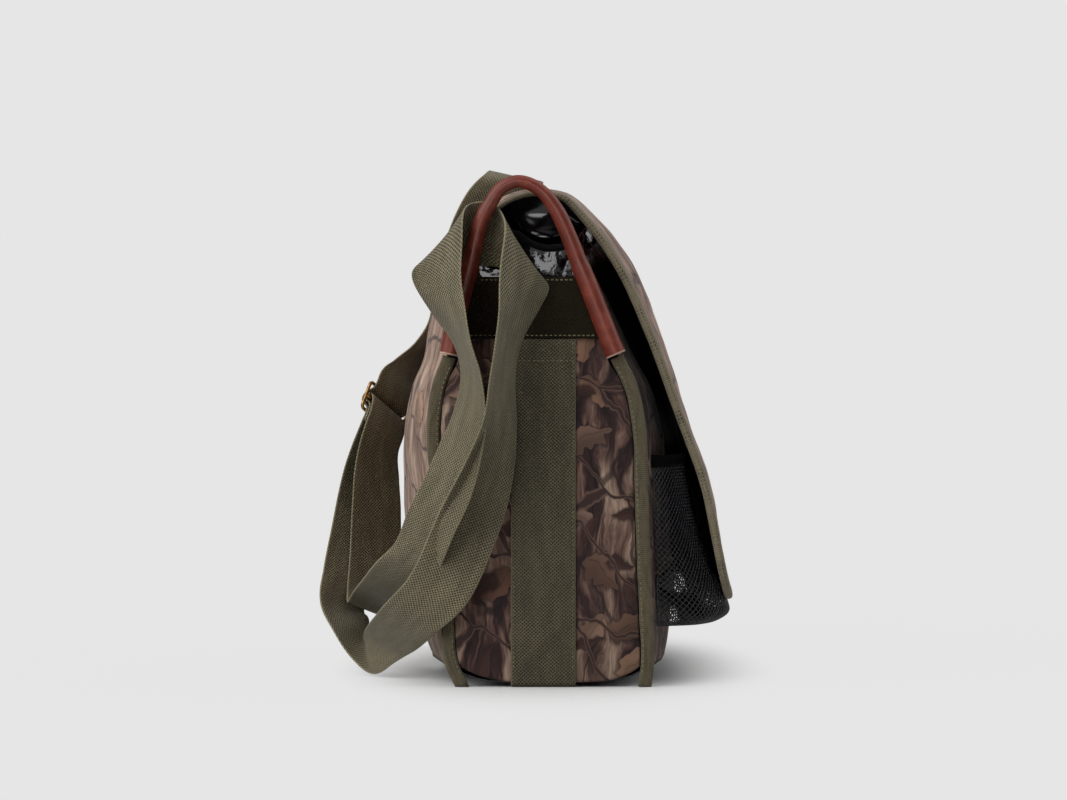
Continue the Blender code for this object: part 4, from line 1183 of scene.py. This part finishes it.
def make_strap(finish, thread):
    """One length of webbing: slider, round the near hoop, slider again, and up to the far hoop."""
    rows = np.array(
        slider_rows(SEWN_END)
        + list(NEAR_LOOPS)
        + slider_rows(THREAD)
        + list(FAR_STRAND)
        + end_loop_rows()
    )
    lengths = path_lengths(rows[:, :3])
    stations = smooth_through(lengths, rows, np.arange(0.0, lengths[-1], 2.5))
    centres = stations[:, :3]
    across = width_direction(stations[:, 3], stations[:, 4])
    over = unit(np.cross(tangents(centres), across))
    band = flat_band(15)
    strap = sweep_piece(
        "webbing_strap", centres, across, over, WEBBING_WIDTH / 2, STRAP / 2, band, finish
    )
    places = points_of(strap).reshape(len(centres), len(band), 3)
    run = path_lengths(centres)
    free = up_then_down(run, (60.0, 110.0), (run[-1] - 110.0, run[-1] - 70.0))
    wave = ripple(at(run, 0.0, 0.0), 42.0, 95)
    u = band[:, 0]
    cup = wave[:, None] * (u[None, :] ** 2 - 0.4) * 0.7 * free[:, None]
    move_points(strap, places + over[:, None] * cup[..., None])
    middle, side, up, out = slider_frame()
    seam = []
    for v in (-17.5, -22.5):
        u = np.linspace(-22.0, 22.0, 12)[:, None]
        seam.append((middle + up * v + side * u + out * (7.8 + STRAP / 2 - 0.1), out))
    stitches = stitch_rows("strap_end_stitches", seam, thread, 3.4, 2.5, 0.5)
    return strap, (WEBBING_WIDTH * MM, run[-1] * MM), stitches


def make_slider(finish):
    """Three-bar slider of round wire: a rounded frame with a bar across its middle."""
    middle, side, up, out = slider_frame()
    reach, rail = SLIDER_HALF
    corner = 3.0
    turns = np.radians(np.linspace(0.0, 90.0, 7))
    outline = []
    for a, b, start in ((1, 1, 0), (-1, 1, 90), (-1, -1, 180), (1, -1, 270)):
        angle = turns + math.radians(start)
        rounded = np.stack([np.cos(angle), np.sin(angle)], 1) * corner
        outline.append(rounded + (a * (reach - corner), b * (rail - corner)))
    outline = np.concatenate(outline)
    loop = middle + side * outline[:, :1] + up * outline[:, 1:]
    across = np.cross(out, tangents(np.concatenate([loop[-1:], loop, loop[:1]]))[1:-1])
    round_wire = SLIDER_WIRE, SLIDER_WIRE, oval(10)
    frame, _ = bar_points(loop, across, out, *round_wire)
    middle_bar = middle + side * np.linspace(-reach, reach, 5)[:, None]
    bar, _ = bar_points(middle_bar, up, out, *round_wire)
    points = np.concatenate([frame.reshape(-1, 3), bar.reshape(-1, 3)])
    faces = bar_faces(len(loop), 10, closed=True)
    faces += [tuple(len(loop) * 10 + v for v in face) for face in bar_faces(5, 10)]
    return add_piece("wire_slider", points, faces, finish)


def webbing_stitches(name, end, finish):
    """Rows that hold the webbing down both its edges and the band across the gusset's top."""
    x = end * (BAG_LENGTH / 2 + GAP + WEBBING)
    rows = []
    for side in (-1, 1):
        z = np.linspace(14.0, GIRTH_TOP - 2.0, 60)
        rows.append(at(x, GIRTH_Y + side * (WEBBING_WIDTH / 2 - 2.2), z))
    for z in (BAND_HEIGHTS[0] + 2.4, BAND_HEIGHTS[1] - 2.4):
        y = np.linspace(gusset_edge(-1, z) + 2.0, gusset_edge(1, z) - 2.0, 30)
        rows.append(at(x + end * 0.15, y, z))
    rows.append(at(x, np.linspace(GIRTH_Y - 23.0, GIRTH_Y + 23.0, 20), 251.0))
    rows = [(row, (end, 0.0, 0.0)) for row in rows]
    return stitch_rows(name, rows, finish, pitch=3.6, long=2.6, radius=0.42)


def studio():
    """A pale studio: an even floor and surround, with soft light high on both sides."""
    world = bpy.data.worlds.new("studio")
    world.use_nodes = True
    tree = world.node_tree
    tree.nodes.clear()
    place = add(tree, "TexCoord")

    def facing(toward):
        way = tuple(unit(np.array(toward)))
        product = {"operation": "DOT_PRODUCT", 0: place.outputs["Generated"], 1: way}
        return add(tree, "VectorMath", product).outputs["Value"]

    total = SURROUND_LIGHT
    for toward, wide, narrow, strength in SOFT_LIGHTS:
        lobe = add(tree, "MapRange", {
            **SMOOTH, "From Min": wide, "From Max": narrow, "To Max": strength, "Value": facing(toward)
        })
        total = add(tree, "Math", {"operation": "ADD", 0: total, 1: lobe})
    path = add(tree, "LightPath")
    # A window in front of the near end, which only shows as glints
    window = add(tree, "MapRange", {
        "From Min": 0.965, "From Max": 0.972, "To Max": WINDOW_STRENGTH, "Value": facing(WINDOW_TOWARD)
    })
    glint = add(tree, "Math", {"operation": "MULTIPLY", 0: window, 1: path.outputs["Is Glossy Ray"]})
    total = add(tree, "Math", {"operation": "ADD", 0: total, 1: glint})
    light = add(tree, "Background", {"Color": "#ffffff", "Strength": total})
    seen = add(tree, "Background", {"Color": PALE})
    both = add(tree, "MixShader", {0: path.outputs["Is Camera Ray"], 1: light, 2: seen})
    add(tree, "OutputWorld", {"Surface": both})
    bpy.context.scene.world = world

    paper, tree, shader = new_finish(
        "matt_paper_floor", 0.9, Base_Color="#e4e4e4", Specular_IOR_Level=0.1
    )
    plain = add(tree, "Emission", {"Color": PALE})
    place = add(tree, "NewGeometry")
    ringed = add(tree, "Mapping", {
        "Scale": (1.0 / 0.34, 1.0 / 0.15, 0.0), "Vector": place.outputs["Position"]
    })
    away = add(tree, "VectorMath", {"operation": "LENGTH", 0: ringed})
    share = add(tree, "MapRange", {
        **SMOOTH, "From Min": 0.6, "From Max": 1.25, "To Max": FLOOR_PLAIN, "Value": away.outputs["Value"]
    })
    seen = add(tree, "MixShader", {0: share, 1: shader, 2: plain})
    # Light that comes off the floor is held back, as a small table under the bag would hold it
    grey = add(tree, "BsdfDiffuse", {"Color": "#8c8c8c"})
    path = add(tree, "LightPath")
    both = add(tree, "MixShader", {0: path.outputs["Is Diffuse Ray"], 1: seen, 2: grey})
    fill(tree, tree.nodes["Material Output"], {"Surface": both})
    mesh = bpy.data.meshes.new("floor")
    corners = [(a * FLOOR_HALF, b * FLOOR_HALF, 0.0) for a, b in ((-1, -1), (1, -1), (1, 1), (-1, 1))]
    mesh.from_pydata(corners, [], [(0, 1, 2, 3)])
    mesh.materials.append(paper)
    floor = bpy.data.objects.new("floor", mesh)
    bpy.context.scene.collection.objects.link(floor)
    bpy.context.scene.view_settings.view_transform = "Standard"


def camera():
    data = bpy.data.cameras.new("camera")
    data.lens = LENS_MM
    data.sensor_width = 36.0
    data.sensor_fit = "HORIZONTAL"
    data.clip_end = 200.0
    obj = bpy.data.objects.new("camera", data)
    obj.location = CAMERA_AT
    obj.rotation_euler = (math.radians(90.0), 0.0, math.radians(-90.0))
    bpy.context.scene.collection.objects.link(obj)
    bpy.context.scene.camera = obj


def on_bag(piece, slot, *nodes):
    """The piece rides on the bag and stands for these nodes, whose imported parts it hides. The slot is
    not used.
    """
    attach(piece, "root")
    if nodes:
        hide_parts(*nodes)
    return piece


def main():
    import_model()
    studio()
    camera()

    camouflage = printed_twill("printed_cotton_twill", 0.13, 0.42)
    bark_stretch = printed_twill("printed_cotton_twill_bark", 0.36, 0.08)
    webbing = woven_webbing("polypropylene_webbing", "#15110a", "#665e47", "#968d70")
    # The gusset webbing is the strap's webbing in a darker copy: painted shade, for the dimmer light on
    # the bag's near end.
    girth_webbing = woven_webbing("polypropylene_girth_painted_shade", "#0d0a06", "#4e4735", "#7a7158")
    # The top band is the same webbing again, made nearly black and with little sheen: painted shade, for
    # the deep shade it lies in under the hoop's arch and the flap.
    band_webbing_painted_shade = woven_webbing("polypropylene_top_band_painted_shade", "#040303", "#0e0c09", "#2b251a", 0.02)
    # Two copies of one olive tape: the gussets' edge tape is the darker copy, with painted shade, and the
    # flap's edge tape keeps the paler colour.
    tape = ribbed_tape("olive_binding_tape", "#211d12", "#6d644c", TAPE_RIB)
    flap_tape = ribbed_tape("olive_flap_tape", "#332e1e", "#8b8068", TAPE_RIB)
    black_tape = ribbed_tape("black_binding_tape", "#030303", "#0e0d0f", TAPE_RIB, 0.03)
    leather = tanned_leather()
    raw = cut_edge()
    film = calendered_vinyl("calendered_vinyl_lining", 26.0, 0.15, 336.0)
    liner_film = calendered_vinyl("calendered_vinyl_liner", 9.0, 0.5, 300.0)
    base = coated_cloth()
    net = knitted_nylon()
    brass = patinated_brass()
    olive_thread = spun_thread("olive_thread", "#5f573f", "#8b8264")

    for name, side, print_used in (("front", -1, camouflage), ("back", 1, bark_stretch)):
        node = f"{name}_panel"
        panel, size = make_panel(f"{name}_cloth", side, print_used)
        on_bag(panel, "camouflage_cloth", node)
    bottom, size = make_bottom(base)
    on_bag(bottom, "coated_cloth", "bottom_panel")

    girth, size = make_girth_webbing(girth_webbing)
    on_bag(girth, "olive_webbing", "girth_webbing")

    for word, end in (("left", -1), ("right", 1)):
        for where, side in (("front", -1), ("back", 1)):
            trim = make_binding(f"edge_tape_{where}_{word}", side, end, tape)
            on_bag(trim, "olive_tape", f"binding_{where}_{word}")
        stitches = binding_stitches(f"edge_stitches_{word}", end, olive_thread)
        on_bag(stitches, "olive_tape")
        held = webbing_stitches(f"webbing_stitches_{word}", end, olive_thread)
        on_bag(held, "olive_webbing")
        gusset, size = make_gusset(f"gusset_cloth_{word}", end, camouflage)
        on_bag(gusset, "camouflage_cloth", f"gusset_{word}")
        band, size = make_top_band(f"band_{word}", end, band_webbing_painted_shade)
        on_bag(band, "olive_webbing", f"top_band_{word}")
        hoop = make_hoop(f"leather_hoop_{word}", end, leather, raw)
        on_bag(hoop, "brown_leather", f"hoop_{word}")

    flap, size, lining, lining_size = make_flap(bark_stretch, film)
    on_bag(flap, "camouflage_cloth", "flap")
    on_bag(lining, "black_vinyl", "flap_lining")
    edge, edge_stitches = make_flap_binding(flap_tape, olive_thread)
    on_bag(edge, "olive_tape", "flap_binding")
    on_bag(edge_stitches, "olive_tape")

    liner, size, rim = make_liner(liner_film, black_tape)
    on_bag(liner, "black_vinyl", "liner")
    on_bag(rim, "black_vinyl")

    pouch, size, hem = make_net_pouch(net, black_tape)
    on_bag(pouch, "black_net", "net_pouch")
    on_bag(hem, "black_net")

    strap, size, strap_stitches = make_strap(webbing, olive_thread)
    on_bag(strap, "olive_webbing", "shoulder_strap")
    on_bag(strap_stitches, "olive_webbing")
    slider = make_slider(brass)
    on_bag(slider, "antique_brass", "strap_slider")


main()
